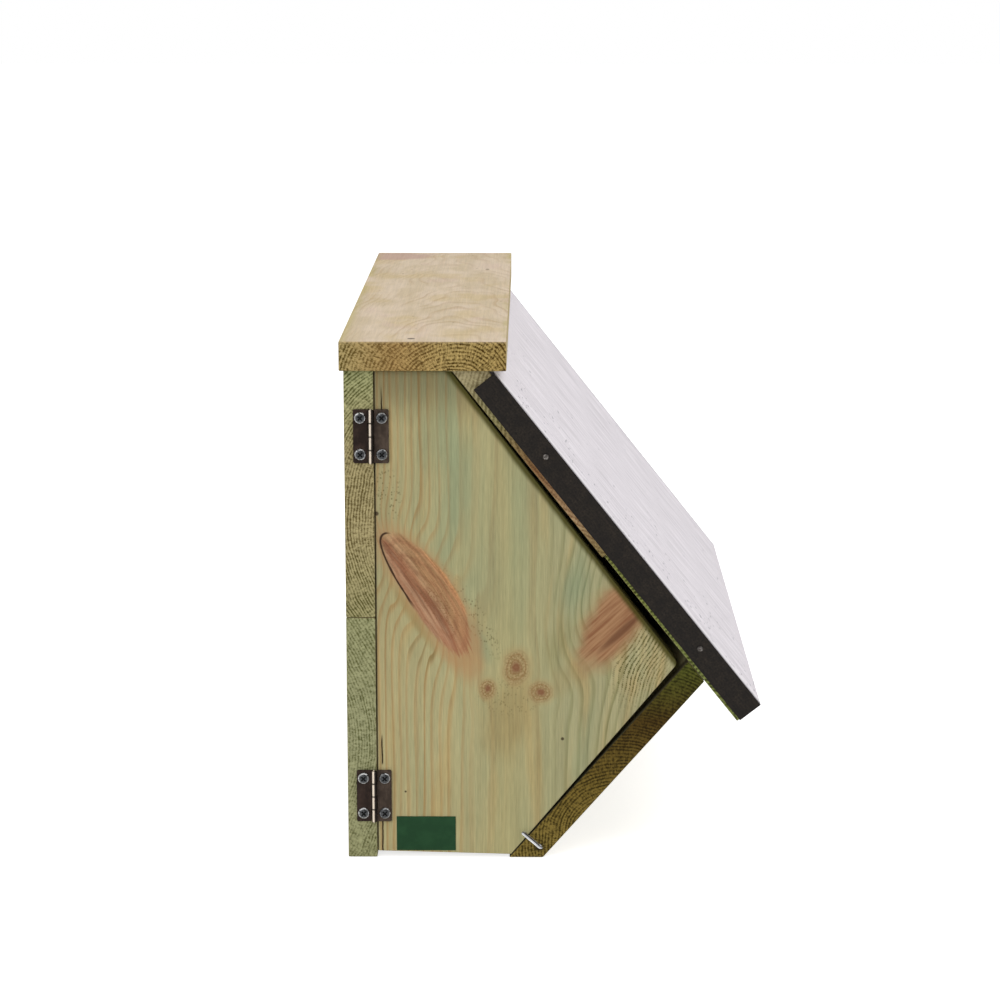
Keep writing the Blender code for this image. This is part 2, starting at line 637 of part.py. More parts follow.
def make_hook(box, zinc, root):
    """Square-bent wire hook, screwed into the end of the lower board, with its arm over the door."""
    pivot_x = lower_x_at(HOOK_PIVOT_RISE, HOOK_PIVOT_DEPTH)
    pivot = Vector((pivot_x, FACE_Y, HOOK_PIVOT_RISE))
    arm = Vector((-math.sin(LOWER_SLOPE_ANGLE), 0, math.cos(LOWER_SLOPE_ANGLE)))
    out = Vector((0, -1, 0))
    rise = HOOK_STAND_OFF - HOOK_BEND_RADIUS
    path = [(-HOOK_SHANK * out, 1.0)]
    for step in range(HOOK_BEND_STEPS + 1):
        angle = math.pi / 2 * step / HOOK_BEND_STEPS
        sideways = HOOK_BEND_RADIUS * (1 - math.cos(angle))
        path.append((out * (rise + HOOK_BEND_RADIUS * math.sin(angle)) + arm * sideways, 1.0))
    tip_start = HOOK_ARM - HOOK_WIRE_RADIUS
    for step in range(HOOK_TIP_STEPS + 1):
        angle = math.pi / 2 * step / (HOOK_TIP_STEPS + 1)
        reach = tip_start + HOOK_WIRE_RADIUS * math.sin(angle)
        path.append((out * HOOK_STAND_OFF + arm * reach, math.cos(angle)))
    curve = bpy.data.curves.new("turn_hook", "CURVE")
    curve.dimensions = "3D"
    curve.bevel_depth = HOOK_WIRE_RADIUS
    curve.bevel_resolution = HOOK_BEVEL_STEPS
    curve.use_fill_caps = True
    spline = curve.splines.new("POLY")
    spline.points.add(len(path) - 1)
    for point, (place, radius) in zip(spline.points, path):
        point.co = (*place, 1)
        point.radius = radius
    curve.materials.append(zinc)
    hook = bpy.data.objects.new("turn_hook", curve)
    hook.parent = root
    hook.location = pivot
    bpy.context.collection.objects.link(hook)
    hole = shank_hole(HOOK_WIRE_RADIUS, HOOK_SHANK)
    box.drill(("entrance_board",), hole, facing(pivot, out), SMALL_SIDES)


def make_sticker(paper, axis):
    """A thin label near the foot of the door."""
    x_low = DOOR_SIDE_X + STICKER_SIDE_DISTANCE
    z_low = max(DOOR_BOTTOM_LIFT, DOOR_FOOT_LIFT) + STICKER_FOOT_DISTANCE
    outline = rectangle(x_low, z_low, x_low + STICKER_WIDTH, z_low + STICKER_HEIGHT)
    y_face = FACE_Y - STICKER_SEAM
    shape = loft(outline, y_face - STICKER_THICKNESS, outline, y_face)
    add_mesh("blank_sticker", shape, paper, axis, axis["section_place"])


def make_assembly_screws(box, steel, root):
    """Countersunk screws that hold the boards together."""
    jobs = []
    panel_y = HALF_BODY - END_PANEL_THICKNESS / 2
    for number, share in enumerate(BACK_SCREW_SHARES * 2):
        base = BACK_BOARD_HEIGHT if number >= len(BACK_SCREW_SHARES) else 0
        name = "back_board_upper" if base else "back_board_lower"
        place = (SCREW_SINK, panel_y, base + share * BACK_BOARD_HEIGHT)
        jobs.append(("back_screw", place, (-1, 0, 0), BACK_THICKNESS, (name, "end_panel"), True))
    for share in FLOOR_SCREW_SHARES:
        place = (SCREW_SINK, share * BODY_LENGTH, FLOOR_THICKNESS / 2)
        jobs.append(("floor_screw", place, (-1, 0, 0), BACK_THICKNESS,
                     ("back_board_lower", "floor_board"), True))
    outward = (math.sin(LOWER_SLOPE_ANGLE), 0, -math.cos(LOWER_SLOPE_ANGLE))
    slope_length = crossing(LOWER_ROOF_DEPTH, 0)[1] / math.sin(LOWER_SLOPE_ANGLE)
    for share in SIDE_SCREW_SHARES:
        x, z = lower_point(share * slope_length, SCREW_SINK)
        jobs.append(("side_screw", (x, panel_y, z), outward, LOWER_BOARD_THICKNESS,
                     ("entrance_board", "end_panel"), True))
    floor_run = lower_x_at(0, LOWER_BOARD_THICKNESS) - BACK_THICKNESS
    for share in END_SCREW_SHARES:
        place = (BACK_THICKNESS + share * floor_run, HALF_BODY - SCREW_SINK, FLOOR_THICKNESS / 2)
        jobs.append(("end_screw", place, (0, 1, 0), END_PANEL_THICKNESS, ("end_panel", "floor_board"), True))
    up = (math.sin(ROOF_ANGLE), 0, math.cos(ROOF_ANGLE))
    eave_x, eave_z = crossing(LOWER_ROOF_DEPTH, LOWER_BOARD_THICKNESS / 2)
    eave_along = roof_along_at(eave_z, LOWER_ROOF_DEPTH)
    head_depth = BOARD_DEPTH + SCREW_SINK
    for share in EAVE_SCREW_SHARES:
        x, z = roof_point(eave_along, head_depth)
        jobs.append(("eave_screw", (x, share * BODY_LENGTH, z), up, LOWER_ROOF_THICKNESS,
                     ("roof_board_lower", "entrance_board"), False))
    head_along = roof_along_at(BACK_HEIGHT, UPPER_ROOF_DEPTH)
    upper_along = head_along + (ROOF_JOINT_DISTANCE - head_along) * ROOF_SCREW_SHARE
    lower_along = ROOF_JOINT_DISTANCE + (eave_along - ROOF_JOINT_DISTANCE) * ROOF_SCREW_SHARE
    spots = ((upper_along, UPPER_ROOF_THICKNESS, "roof_board_upper"),
             (lower_along, LOWER_ROOF_THICKNESS, "roof_board_lower"))
    for along, thickness, name in spots:
        x, z = roof_point(along, head_depth)
        jobs.append(("roof_screw", (x, panel_y, z), up, thickness, (name, "end_panel"), False))
    counts = {}
    for kind, place, outward, thickness, carriers, recessed in jobs:
        counts[kind] = counts.get(kind, 0) + 1
        length = thickness - SCREW_SINK + SCREW_BITE
        profile = [(0, -length), (SCREW_RADIUS, -length + SCREW_POINT), (SCREW_RADIUS, -SCREW_HEAD_DEPTH),
                   (SCREW_HEAD_RADIUS, -SCREW_RIM), (SCREW_HEAD_RADIUS, 0), (0, 0)]
        bore = SCREW_RADIUS + SEAM
        sink = SCREW_HEAD_RADIUS + SEAM
        hole = [(0, -length - SEAM), (bore, -length - SEAM), (bore, -SCREW_HEAD_DEPTH - SEAM),
                (sink, -SCREW_RIM - SEAM), (sink, CUT_OVERRUN), (0, CUT_OVERRUN)]
        matrix = facing(place, outward)
        screw = add_mesh("screw", turned(profile, SMALL_SIDES), steel, None)
        if recessed:
            cut_recess(screw, SCREW_HEAD_RADIUS, 0, SCREW_HEAD_DEPTH * RECESS_DEPTH_SHARE)
        place_copy(f"{kind}_{counts[kind]}", screw, matrix, root)
        bpy.data.objects.remove(screw, do_unlink=True)
        box.drill(carriers, hole, matrix, SMALL_SIDES)


def main():
    clear_scene()
    wood = principled("pressure_treated_pine", (0.36, 0.31, 0.15), 0.75)
    sheet = principled("roofing_sheet", (0.70, 0.67, 0.70), 0.6)
    dark = principled("dark_strip", (0.022, 0.020, 0.018), 0.55)
    bronze = principled("browned_steel", (0.055, 0.042, 0.036), 0.4, 0.8)
    zinc = principled("zinc_plated_wire", (0.72, 0.73, 0.74), 0.2, 1.0)
    screw_steel = principled("screw_steel", (0.45, 0.45, 0.46), 0.35, 1.0)
    green = principled("green_paper", (0.03, 0.09, 0.035), 0.5)

    root = add_empty("box_frame", (-MIDDLE_X, 0, 0))
    root["section_place"] = (0.0, 0.0, 0.0)
    axis = add_empty("door_axis", (HINGE_AXIS_X, HINGE_AXIS_Y, 0), root)
    axis["section_place"] = (HINGE_AXIS_X, HINGE_AXIS_Y, 0.0)

    box = Box()
    make_boards(box, wood, root)
    make_cover(box, sheet, root)
    make_strips(box, dark, screw_steel, root)
    make_door(box, wood, root, axis)
    for word, centre in zip(("upper", "lower"), HINGE_MIDDLES):
        make_hinge(box, word, centre, bronze, root, axis)
    make_hinge_screws(box, bronze, root, axis)
    make_hook(box, zinc, root)
    make_sticker(green, axis)
    make_assembly_screws(box, screw_steel, root)
    cut_entrance(box)
    box.cut_holes()


main()
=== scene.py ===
"""Looks of the swift nest box: timber, roof cover, edge strips, hinges, hook and label.

Metres, +Z up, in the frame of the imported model. The wall is at -X and the door end faces -Y.
"""
import math

import bpy
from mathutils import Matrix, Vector


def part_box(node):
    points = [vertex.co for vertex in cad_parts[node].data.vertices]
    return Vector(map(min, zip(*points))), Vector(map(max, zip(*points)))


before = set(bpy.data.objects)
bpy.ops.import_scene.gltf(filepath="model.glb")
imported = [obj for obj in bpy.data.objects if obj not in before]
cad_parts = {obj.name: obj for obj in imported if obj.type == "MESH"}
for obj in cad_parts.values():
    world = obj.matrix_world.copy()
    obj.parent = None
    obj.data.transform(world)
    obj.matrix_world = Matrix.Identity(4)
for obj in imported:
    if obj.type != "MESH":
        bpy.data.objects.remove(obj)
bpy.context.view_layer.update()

# Places on the object, read from the frame
NEAR_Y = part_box("door_panel")[0].y          # face of the door
WALL_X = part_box("back_board_lower")[0].x
BASE_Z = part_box("back_board_lower")[0].z
END_SPAN = 0.2                 # how far the colours of hidden ends run from the hinge side
BACK_BOARD_HEIGHT = 0.145
ROOF_TILT = math.radians(51.5)
ROOF_FACE = (math.sin(ROOF_TILT), 0, math.cos(ROOF_TILT))
LOWER_TILT = math.radians(49.0)
LOWER_FACE = (-math.sin(LOWER_TILT), 0, math.cos(LOWER_TILT))       # inner face of the entrance board

# Camera, fitted to the corners of the boards in the photograph
CAMERA_PLACE = (-0.0131, -1.7746, 0.5397)
CAMERA_PITCH = math.radians(11.734)
CAMERA_YAW = math.radians(-0.618)
CAMERA_LENS = 100.45
SENSOR_WIDTH = 36.0

# Floor and light
FLOOR_HALF = 9.0
FLOOR_DROP = 0.0003
FLOOR_GREY = 0.86
FLOOR_GLOW = 0.74
AMBIENT = 0.50
STUDIO_DARK = 0.05
STUDIO_DARK_FROM = -0.95        # Y of the direction that metal looks in
STUDIO_DARK_TO = -0.60
LIGHT_AIM = (0, 0, 0.15)
# Each light: its name, place, size and energy
LIGHTS = (("top", (0.9, -0.3, 2.0), 1.6, 19), ("front", (-1.2, -2.2, 1.5), 1.4, 16))

# Sockets of the Mix node that carry its factor and colours
MIX_FACTOR = 0
MIX_FIRST = 6
MIX_SECOND = 7
MIX_RESULT = 2

# Bevels on the pieces that were cut square
BEVELS = {"roof_cover": 0.0004, "edge_strip_near": 0.0003, "edge_strip_far": 0.0003}
BEVEL_ANGLE = math.radians(40)


def rgb(red, green, blue):
    """Linear colour from 0 to 255 display values."""
    values = []
    for value in (red, green, blue):
        share = value / 255
        values.append(share / 12.92 if share <= 0.04045 else ((share + 0.055) / 1.055) ** 2.4)
    return (*values, 1.0)


# Sawn faces of the treated boards, and their olive ends where no photograph shows them
TAN = rgb(172, 160, 117)
LATE = rgb(160, 128, 84)        # latewood lines
STAIN = rgb(142, 153, 118)
OLIVE_LIGHT = (rgb(162, 150, 104), rgb(156, 148, 102))
OLIVE_DARK = (rgb(100, 92, 54), rgb(94, 90, 52))


class Field:
    """A number that varies over a surface. Sums and products of fields become Math nodes."""

    def __init__(self, paint, socket):
        self.paint = paint
        self.socket = socket

    def __add__(self, other):
        return self.paint.calc("ADD", self, other)

    def __radd__(self, other):
        return self.paint.calc("ADD", other, self)

    def __sub__(self, other):
        return self.paint.calc("SUBTRACT", self, other)

    def __rsub__(self, other):
        return self.paint.calc("SUBTRACT", other, self)

    def __mul__(self, other):
        return self.paint.calc("MULTIPLY", self, other)

    def __rmul__(self, other):
        return self.paint.calc("MULTIPLY", other, self)

    def __truediv__(self, other):
        return self.paint.calc("DIVIDE", self, other)

    def __neg__(self):
        return self.paint.calc("MULTIPLY", self, -1.0)

    def __abs__(self):
        return self.paint.calc("ABSOLUTE", self)


class Paint:
    """One material and short calls that make its nodes."""

    def __init__(self, name, roughness, metallic=0.0, specular=0.5):
        self.material = bpy.data.materials.new(name)
        self.material.use_nodes = True
        self.tree = self.material.node_tree
        self.shader = self.tree.nodes["Principled BSDF"]
        self.shader.inputs["Roughness"].default_value = roughness
        self.shader.inputs["Metallic"].default_value = metallic
        self.shader.inputs["Specular IOR Level"].default_value = specular
        self.place = self.tree.nodes.new("ShaderNodeTexCoord")
        self.x, self.y, self.z = self.split(self.place.outputs["Object"])
        self.normal = self.split(self.place.outputs["Normal"])

    def split(self, vector):
        node = self.tree.nodes.new("ShaderNodeSeparateXYZ")
        self.tree.links.new(vector, node.inputs[0])
        return [Field(self, output) for output in node.outputs]

    def feed(self, socket, value):
        if isinstance(value, Field):
            self.tree.links.new(value.socket, socket)
        else:
            socket.default_value = value

    def calc(self, operation, *values):
        node = self.tree.nodes.new("ShaderNodeMath")
        node.operation = operation
        for socket, value in zip(node.inputs, values):
            self.feed(socket, value)
        return Field(self, node.outputs[0])

    def root(self, value):
        return self.calc("SQRT", value)

    def fall(self, value):
        """exp(-value)"""
        return self.calc("EXPONENT", -value)

    def smooth(self, value, low, high):
        """0 below low, 1 above high, eased between; falls instead where low is the larger."""
        node = self.tree.nodes.new("ShaderNodeMapRange")
        node.interpolation_type = "SMOOTHSTEP"
        rising = high > low
        self.feed(node.inputs["Value"], value)
        node.inputs["From Min"].default_value = low if rising else high
        node.inputs["From Max"].default_value = high if rising else low
        node.inputs["To Min"].default_value = 0.0 if rising else 1.0
        node.inputs["To Max"].default_value = 1.0 if rising else 0.0
        return Field(self, node.outputs["Result"])

    def vector(self, a, b, c):
        node = self.tree.nodes.new("ShaderNodeCombineXYZ")
        for socket, value in zip(node.inputs, (a, b, c)):
            self.feed(socket, value)
        return Field(self, node.outputs[0])

    def noise(self, a, b, c=0.0, detail=2.0, roughness=0.5):
        node = self.tree.nodes.new("ShaderNodeTexNoise")
        self.feed(node.inputs["Vector"], self.vector(a, b, c))
        node.inputs["Scale"].default_value = 1.0
        node.inputs["Detail"].default_value = detail
        node.inputs["Roughness"].default_value = roughness
        return Field(self, node.outputs["Fac"])

    def cells(self, a, b, c):
        """Distance to the nearest of many scattered points."""
        node = self.tree.nodes.new("ShaderNodeTexVoronoi")
        self.feed(node.inputs["Vector"], self.vector(a, b, c))
        node.inputs["Scale"].default_value = 1.0
        return Field(self, node.outputs["Distance"])

    def chance(self, value):
        """A random number for each whole value."""
        node = self.tree.nodes.new("ShaderNodeTexWhiteNoise")
        node.noise_dimensions = "1D"
        self.feed(node.inputs["W"], value)
        return Field(self, node.outputs["Value"])

    def mix(self, factor, first, second):
        node = self.tree.nodes.new("ShaderNodeMix")
        node.data_type = "RGBA"
        self.feed(node.inputs[MIX_FACTOR], factor)
        self.feed(node.inputs[MIX_FIRST], first)
        self.feed(node.inputs[MIX_SECOND], second)
        return Field(self, node.outputs[MIX_RESULT])

    def ramp(self, value, low, high, colours):
        """Evenly spaced colours from low to high."""
        node = self.tree.nodes.new("ShaderNodeValToRGB")
        self.feed(node.inputs["Fac"], (value - low) / (high - low))
        elements = node.color_ramp.elements
        while len(elements) < len(colours):
            elements.new(0.5)
        for index, colour in enumerate(colours):
            elements[index].position = index / (len(colours) - 1)
            elements[index].color = colour
        return Field(self, node.outputs["Color"])

    def scale_colour(self, colour, factor):
        """A colour made lighter or darker by a factor."""
        node = self.tree.nodes.new("ShaderNodeVectorMath")
        node.operation = "SCALE"
        self.feed(node.inputs[0], colour)
        self.feed(node.inputs["Scale"], factor)
        return Field(self, node.outputs[0])

    def facing(self, direction):
        """How far the surface faces a direction, from -1 to 1."""
        return (self.normal[0] * direction[0] + self.normal[1] * direction[1]
                + self.normal[2] * direction[2])

    def finish(self, colour, height=None, roughness=None):
        """Colour, relief in metres and, where it varies, roughness."""
        self.feed(self.shader.inputs["Base Color"], colour)
        if roughness is not None:
            self.feed(self.shader.inputs["Roughness"], roughness)
        if height is not None:
            bump = self.tree.nodes.new("ShaderNodeBump")
            bump.inputs["Distance"].default_value = 1.0
            self.feed(bump.inputs["Height"], height)
            self.tree.links.new(bump.outputs["Normal"], self.shader.inputs["Normal"])
        return self.material


class Spot:
    """An ellipse on a face: centre, half sizes, the turn of its long axis from level and its bow."""

    def __init__(self, x, z, long, wide, turn=0.0, bow=0.0):
        self.x = x
        self.z = z
        self.long = long
        self.wide = wide
        self.bow = bow
        self.cosine = math.cos(math.radians(turn))
        self.sine = math.sin(math.radians(turn))

    def axes(self, x, z):
        """Distances along and across the long axis."""
        dx = x - self.x
        dz = z - self.z
        along = dx * self.cosine + dz * self.sine
        across = dz * self.cosine - dx * self.sine
        if self.bow:
            across = across + along * along * self.bow
        return along, across

    def shares(self, x, z):
        along, across = self.axes(x, z)
        return along / self.long, across / self.wide

    def reach(self, paint, x, z):
        """1 on the ellipse, less inside it."""
        a, b = self.shares(x, z)
        return paint.root(a * a + b * b)

    def gap(self, paint, x, z):
        """Distance outside the ellipse, nearly; below zero inside it."""
        a, b = self.shares(x, z)
        reach = paint.root(a * a + b * b)
        steep = paint.root(a * a / self.long ** 2 + b * b / self.wide ** 2)
        return (reach - 1.0) * reach / steep


# Marks on the door, from its hinge side and the base
def door_x(distance):
    return WALL_X + distance


BIG_KNOT = Spot(door_x(0.0500), 0.1586, 0.0456, 0.0132, -57.4, 2.0)
SIDE_KNOT = Spot(door_x(0.1545), 0.1425, 0.0305, 0.0145, 61)
SIDE_KNOT_HEART = Spot(door_x(0.1601), 0.1377, 0.0200, 0.0026, 43)
SMALL_KNOTS = (Spot(door_x(0.0985), 0.1155, 0.0100, 0.0076, 84),
               Spot(door_x(0.0820), 0.1026, 0.0058, 0.0048, 80),
               Spot(door_x(0.1126), 0.1008, 0.0062, 0.0070, 84))
# Each pull: a knot, how far it turns the grain, and along and across what distances
KNOT_PULLS = ((BIG_KNOT, 1.35, 0.052, 0.0170), (SIDE_KNOT, 1.15, 0.044, 0.0270),
              *((knot, 0.9, knot.long * 1.9, knot.wide * 1.9) for knot in SMALL_KNOTS))
NOSE_PORES = Spot(door_x(0.1712), 0.1215, 0.0280, 0.0150, 72)
# In the lists of spots below, the number beside each is its strength
PORE_ZONES = ((Spot(door_x(0.0700), 0.1500, 0.0340, 0.0080, -56), 0.55),
              (Spot(door_x(0.0250), 0.2190, 0.0150, 0.0080, -80), 0.60),
              (Spot(door_x(0.0960), 0.0980, 0.0200, 0.0120, 0), 0.35))
DARK_RINGS = Spot(door_x(0.0440), 0.1240, 0.0130, 0.0085, -52)
# Each split: its place, its two ends and the length over which its upper end fades
DOOR_CRACKS = ((door_x(0.0216), 0.2600, 0.2840, 0.0150), (door_x(0.0203), 0.0000, 0.0260, 0.0020),
               (door_x(0.0203), 0.0560, 0.0760, 0.0060))
# Each dot: its place and radius
DOOR_DOTS = ((door_x(0.0338), 0.0402, 0.0008), (door_x(0.1255), 0.0726, 0.0012),
             (door_x(0.0182), 0.2066, 0.0016))
DOOR_SMUDGES = ((Spot(door_x(0.0950), 0.0850, 0.0260, 0.0170, 80), 0.55),
                (Spot(door_x(0.1290), 0.1110, 0.0160, 0.0090, 60), 0.40),
                (Spot(door_x(0.0400), 0.1440, 0.0240, 0.0035, -58), 0.75))
DOOR_GREENS = ((Spot(door_x(0.0640), 0.2170, 0.0500, 0.0110, 88), 0.42),
               (Spot(door_x(0.1320), 0.1640, 0.0230, 0.0110, 78), 0.48),
               (Spot(door_x(0.1010), 0.1750, 0.0500, 0.0060, 88), 0.25),
               (Spot(door_x(0.1370), 0.0650, 0.0330, 0.0060, 80), 0.28),
               (Spot(door_x(0.0745), 0.1330, 0.0160, 0.0050, -60), 0.50),
               (Spot(door_x(0.0540), 0.2480, 0.0240, 0.0100, 86), 0.30))
DOOR_SHADES = ((Spot(door_x(0.1246), 0.1304, 0.0190, 0.0100, 72), 0.34),)
DOOR_STAIN = (rgb(186, 168, 123), rgb(184, 178, 134), rgb(181, 173, 126), rgb(175, 171, 130),
              rgb(176, 169, 128))
DOOR_PITH = (door_x(0.0975), NEAR_Y + 0.060)

HOOK_RUN = (0.76, -0.65)        # way of the hook's bar in the door's plane

# Marks on the plank, as places along X and Y, and a spot of painted shadow where the hook meets the
# end of the entrance board
PLANK_KNOT = Spot(door_x(0.0040), 0.1930, 0.0340, 0.0230)
PLANK_MARK = Spot(door_x(0.0385), -0.2040, 0.0024, 0.0026)
PLANK_DOT = Spot(door_x(0.0770), 0.1180, 0.0014, 0.0040)
HOOK_SHADOW_SPOT = Spot(door_x(0.1118), 0.0058, 0.0034, 0.0022)


def ring_lines(paint, distance, spacing):
    """Fine latewood lines, the same with a weight for each ring, and broad ones for sawn ends."""
    phase = distance / spacing
    number = paint.calc("FLOOR", phase)
    share = phase - number
    weight = paint.chance(number)
    fine = paint.smooth(share, 0.45, 0.86) * paint.smooth(share, 1.0, 0.90)
    broad = paint.smooth(share, 0.18, 0.60) * paint.smooth(share, 1.0, 0.76)
    return fine, fine * (weight * 0.65 + 0.35), broad * (weight * 0.4 + 0.6)


def knot_bend(paint, x, z):
    """Where a grain line would stand if the knots hadn't turned it."""
    bent = x
    for knot, pull, length, width in KNOT_PULLS:
        along, across = knot.axes(x, z)
        t = along / length
        s = across / width
        bent = bent + across * paint.fall(s * s + t * t) * pull
    return bent


class Grain:
    """Directions, growth rings and fibres of one board."""

    def __init__(self, paint, run, pith, spacing, seed, drift=0.012, bend=None):
        self.a = paint.x
        self.b, self.g = (paint.z, paint.y) if run == "Y" else (paint.y, paint.z)
        a, b, g = self.a, self.b, self.g
        faces_end = abs(paint.normal[1] if run == "Y" else paint.normal[2])
        self.end_share = paint.smooth(faces_end, 0.55, 0.8)
        self.da = da = (a if bend is None else bend) - pith[0]
        self.db = db = b - pith[1]
        wander = (paint.noise(a * 16 + seed, b * 16, g * 2.2, 1.0) - 0.5) * drift
        ripple = (paint.noise(a * 110 + seed, b * 110, g * 9, 2.0) - 0.5) * (spacing * 1.1)
        self.distance = paint.root(da * da + db * db) + wander + ripple
        self.line, self.weighted, self.broad = ring_lines(paint, self.distance, spacing)
        self.turn = paint.calc("ARCTAN2", db, da)
        self.fibre = paint.noise(a * 900 + seed, b * 900, g * 22, 2.0)
        self.fine = paint.noise(a * 2600, b * 2600, g * 110 + seed, 1.0)
        self.patch = paint.noise(a * 24 + seed, b * 24, g * 5, 2.0)
        self.cloud = paint.noise(a * 60, b * 60 + seed, g * 24, 2.0)


def end_grain(paint, grain, place, light, dark, line_share, speckle):
    """Sawn end: soft rings, broken up by pores that line up along the rays."""
    pale = paint.ramp(*place, light)
    deep = paint.ramp(*place, dark)
    rays = paint.noise(grain.distance * 330, grain.turn * 62, grain.g * 40, 2.0, 0.6)
    pores = paint.noise(grain.a * 800, grain.b * 800, grain.g * 40, 2.0, 0.7)
    fade = paint.smooth(paint.noise(grain.a * 90, grain.b * 90, grain.g * 20, 1.0), 0.30, 0.62)
    grit = (rays - 0.5) * 2.4 + (pores - 0.5) * 2.6
    lines = grain.broad * (fade * 0.5 + 0.5) * line_share
    share = paint.smooth(lines + grit * speckle, -0.20, 0.90)
    colour = paint.mix(share, pale, deep)
    colour = paint.scale_colour(colour, 1.0 - grit * (speckle * 0.30))
    height = (0.5 - pores) * 0.00024 - share * 0.00006
    return colour, height


def long_face(paint, grain):
    """Sawn face along the grain: soft lines and stained patches."""
    colour = paint.mix(grain.weighted * 0.7, TAN, LATE)
    return paint.mix(paint.smooth(grain.patch, 0.42, 0.66) * 0.5, colour, STAIN)


def timber(name, run, pith, spacing, seed, place, light, dark, line_share=0.85, speckle=0.55,
           seam=None, mark=None):
    """Treated softwood board.

    run is the axis of its grain, pith the heart of its growth rings and spacing their distance.
    light and dark are the colours of its sawn ends along place, an axis and two limits on it.
    seam is the direction of the face that gets painted shade in the gap along the door, mark a spot of
    painted shadow on the end.
    """
    paint = Paint(name, 0.84, specular=0.14)
    grain = Grain(paint, run, pith, spacing, seed)
    colour = long_face(paint, grain)
    tone = 1.0 + (grain.fibre - 0.5) * 0.16 + (grain.fine - 0.5) * 0.10 + (grain.cloud - 0.5) * 0.16
    colour = paint.scale_colour(colour, tone)
    # Painted shade on the face that the gap along the door shades
    if seam:
        painted_gap_shade = paint.smooth(paint.y, NEAR_Y + 0.014, NEAR_Y + 0.006)
        painted_gap_shade = painted_gap_shade * paint.smooth(paint.facing(seam), 0.5, 0.8)
        colour = paint.mix(painted_gap_shade * 0.85, colour, rgb(28, 24, 12))
    axis = {"x": paint.x, "z": paint.z}[place[0]]
    ends, end_height = end_grain(paint, grain, (axis, *place[1:]), light, dark, line_share, speckle)
    if mark:
        # Painted shadow: a dark spot on the end grain
        reach = mark.reach(paint, paint.x, paint.z)
        ends = paint.mix(paint.smooth(reach, 1.2, 0.4) * 0.85, ends, rgb(30, 24, 8))
    colour = paint.mix(grain.end_share, colour, ends)
    face_height = (grain.fibre - 0.5) * 0.00006 + (grain.fine - 0.5) * 0.00004
    height = face_height * (1.0 - grain.end_share) + end_height * grain.end_share
    return paint.finish(colour, height)


def plank_timber():
    """Top plank: beige above, paler than its sides and underside as painted light from above, with a
    wavy figure, a knot at the far end and marks.
    """
    paint = Paint("plank_timber", 0.84, specular=0.14)
    x, y, z = paint.x, paint.y, paint.z
    grain = Grain(paint, "Y", (door_x(0.0626), 0.2725), 0.0021, 17.0)
    beige = paint.mix(paint.smooth(grain.cloud, 0.38, 0.64), rgb(216, 198, 174), rgb(205, 187, 158))
    yellow = paint.smooth(paint.noise(x * 30, y * 20, 3.0, 2.0), 0.50, 0.66)
    colour = paint.mix(yellow * 0.6, beige, rgb(203, 182, 140))
    rose = paint.smooth(paint.noise(x * 36, y * 15, 8.0, 2.0), 0.54, 0.68)
    colour = paint.mix(rose * 0.5, colour, rgb(212, 189, 172))
    # The board leans on its heart, so the growth rings leave arches along it
    lean = (y - NEAR_Y) * 0.10 + (paint.noise(x * 14 + 4.0, y * 9, 6.0, 2.0) - 0.5) * 0.030
    rings = paint.root(grain.da * grain.da + (grain.db + lean) * (grain.db + lean))
    figure = ring_lines(paint, rings, 0.0030)[1]
    faint = paint.smooth(paint.noise(x * 26, y * 12, 2.0, 2.0), 0.34, 0.62)
    colour = paint.mix(figure * faint * 0.48, colour, rgb(176, 146, 108))
    dash = paint.smooth(paint.cells(x * 150, y * 60, 4.0), 0.15, 0.07)
    chosen = paint.smooth(paint.noise(x * 45, y * 30, 9.0, 1.0), 0.56, 0.62)
    colour = paint.mix(dash * chosen * 0.55, colour, rgb(150, 128, 100))
    knot = PLANK_KNOT.reach(paint, x, y)
    knot = paint.smooth(knot + (paint.noise(x * 90, y * 120, 0.0, 2.0) - 0.5) * 0.6, 1.15, 0.75)
    ripples = paint.noise(x * 60, y * 420, 1.0, 2.0)
    colour = paint.mix(knot * 0.8, colour, paint.mix(ripples, rgb(180, 150, 138), rgb(206, 176, 160)))
    mark = PLANK_MARK.reach(paint, x, y)
    colour = paint.mix(paint.smooth(mark, 1.1, 0.7) * 0.8, colour, rgb(74, 66, 62))
    dot = PLANK_DOT.reach(paint, x, y)
    colour = paint.mix(paint.smooth(dot, 1.2, 0.6) * 0.6, colour, rgb(120, 104, 84))
    low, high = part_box("top_plank")
    left, right, crest = low.x, high.x, high.z
    edge = paint.smooth(x, left + 0.006, left) + paint.smooth(x, right - 0.005, right)
    colour = paint.mix(edge * paint.smooth(grain.cloud, 0.40, 0.62) * 0.55, colour, rgb(184, 172, 108))
    # Sides and underside keep darker colours, and the top's paleness is painted light from above
    side = abs(paint.facing((1, 0, 0)))
    colour = paint.mix(paint.smooth(side, 0.5, 0.8) * 0.7, colour, rgb(176, 158, 112))
    under = paint.smooth(paint.facing((0, 0, -1)), 0.5, 0.8)
    colour = paint.mix(under, colour, long_face(paint, grain))
    tone = 1.0 + (grain.fibre - 0.5) * 0.26 + (grain.fine - 0.5) * 0.22
    colour = paint.scale_colour(colour, tone)
    light = (rgb(180, 160, 107), rgb(176, 144, 90), rgb(188, 162, 101), rgb(180, 153, 92))
    dark = (rgb(98, 82, 34), rgb(128, 98, 52), rgb(78, 58, 14), rgb(76, 54, 8))
    ends, end_height = end_grain(paint, grain, (x, left, right), light, dark, 0.88, 0.90)
    arris = paint.smooth(z, crest - 0.0016, crest - 0.0004)
    ends = paint.mix(arris * 0.35, ends, rgb(206, 184, 146))
    colour = paint.mix(grain.end_share, colour, ends)
    face_height = (grain.fibre - 0.5) * 0.00005 + (grain.fine - 0.5) * 0.00003 - figure * 0.00002
    height = face_height * (1.0 - grain.end_share) + end_height * grain.end_share
    return paint.finish(colour, height)


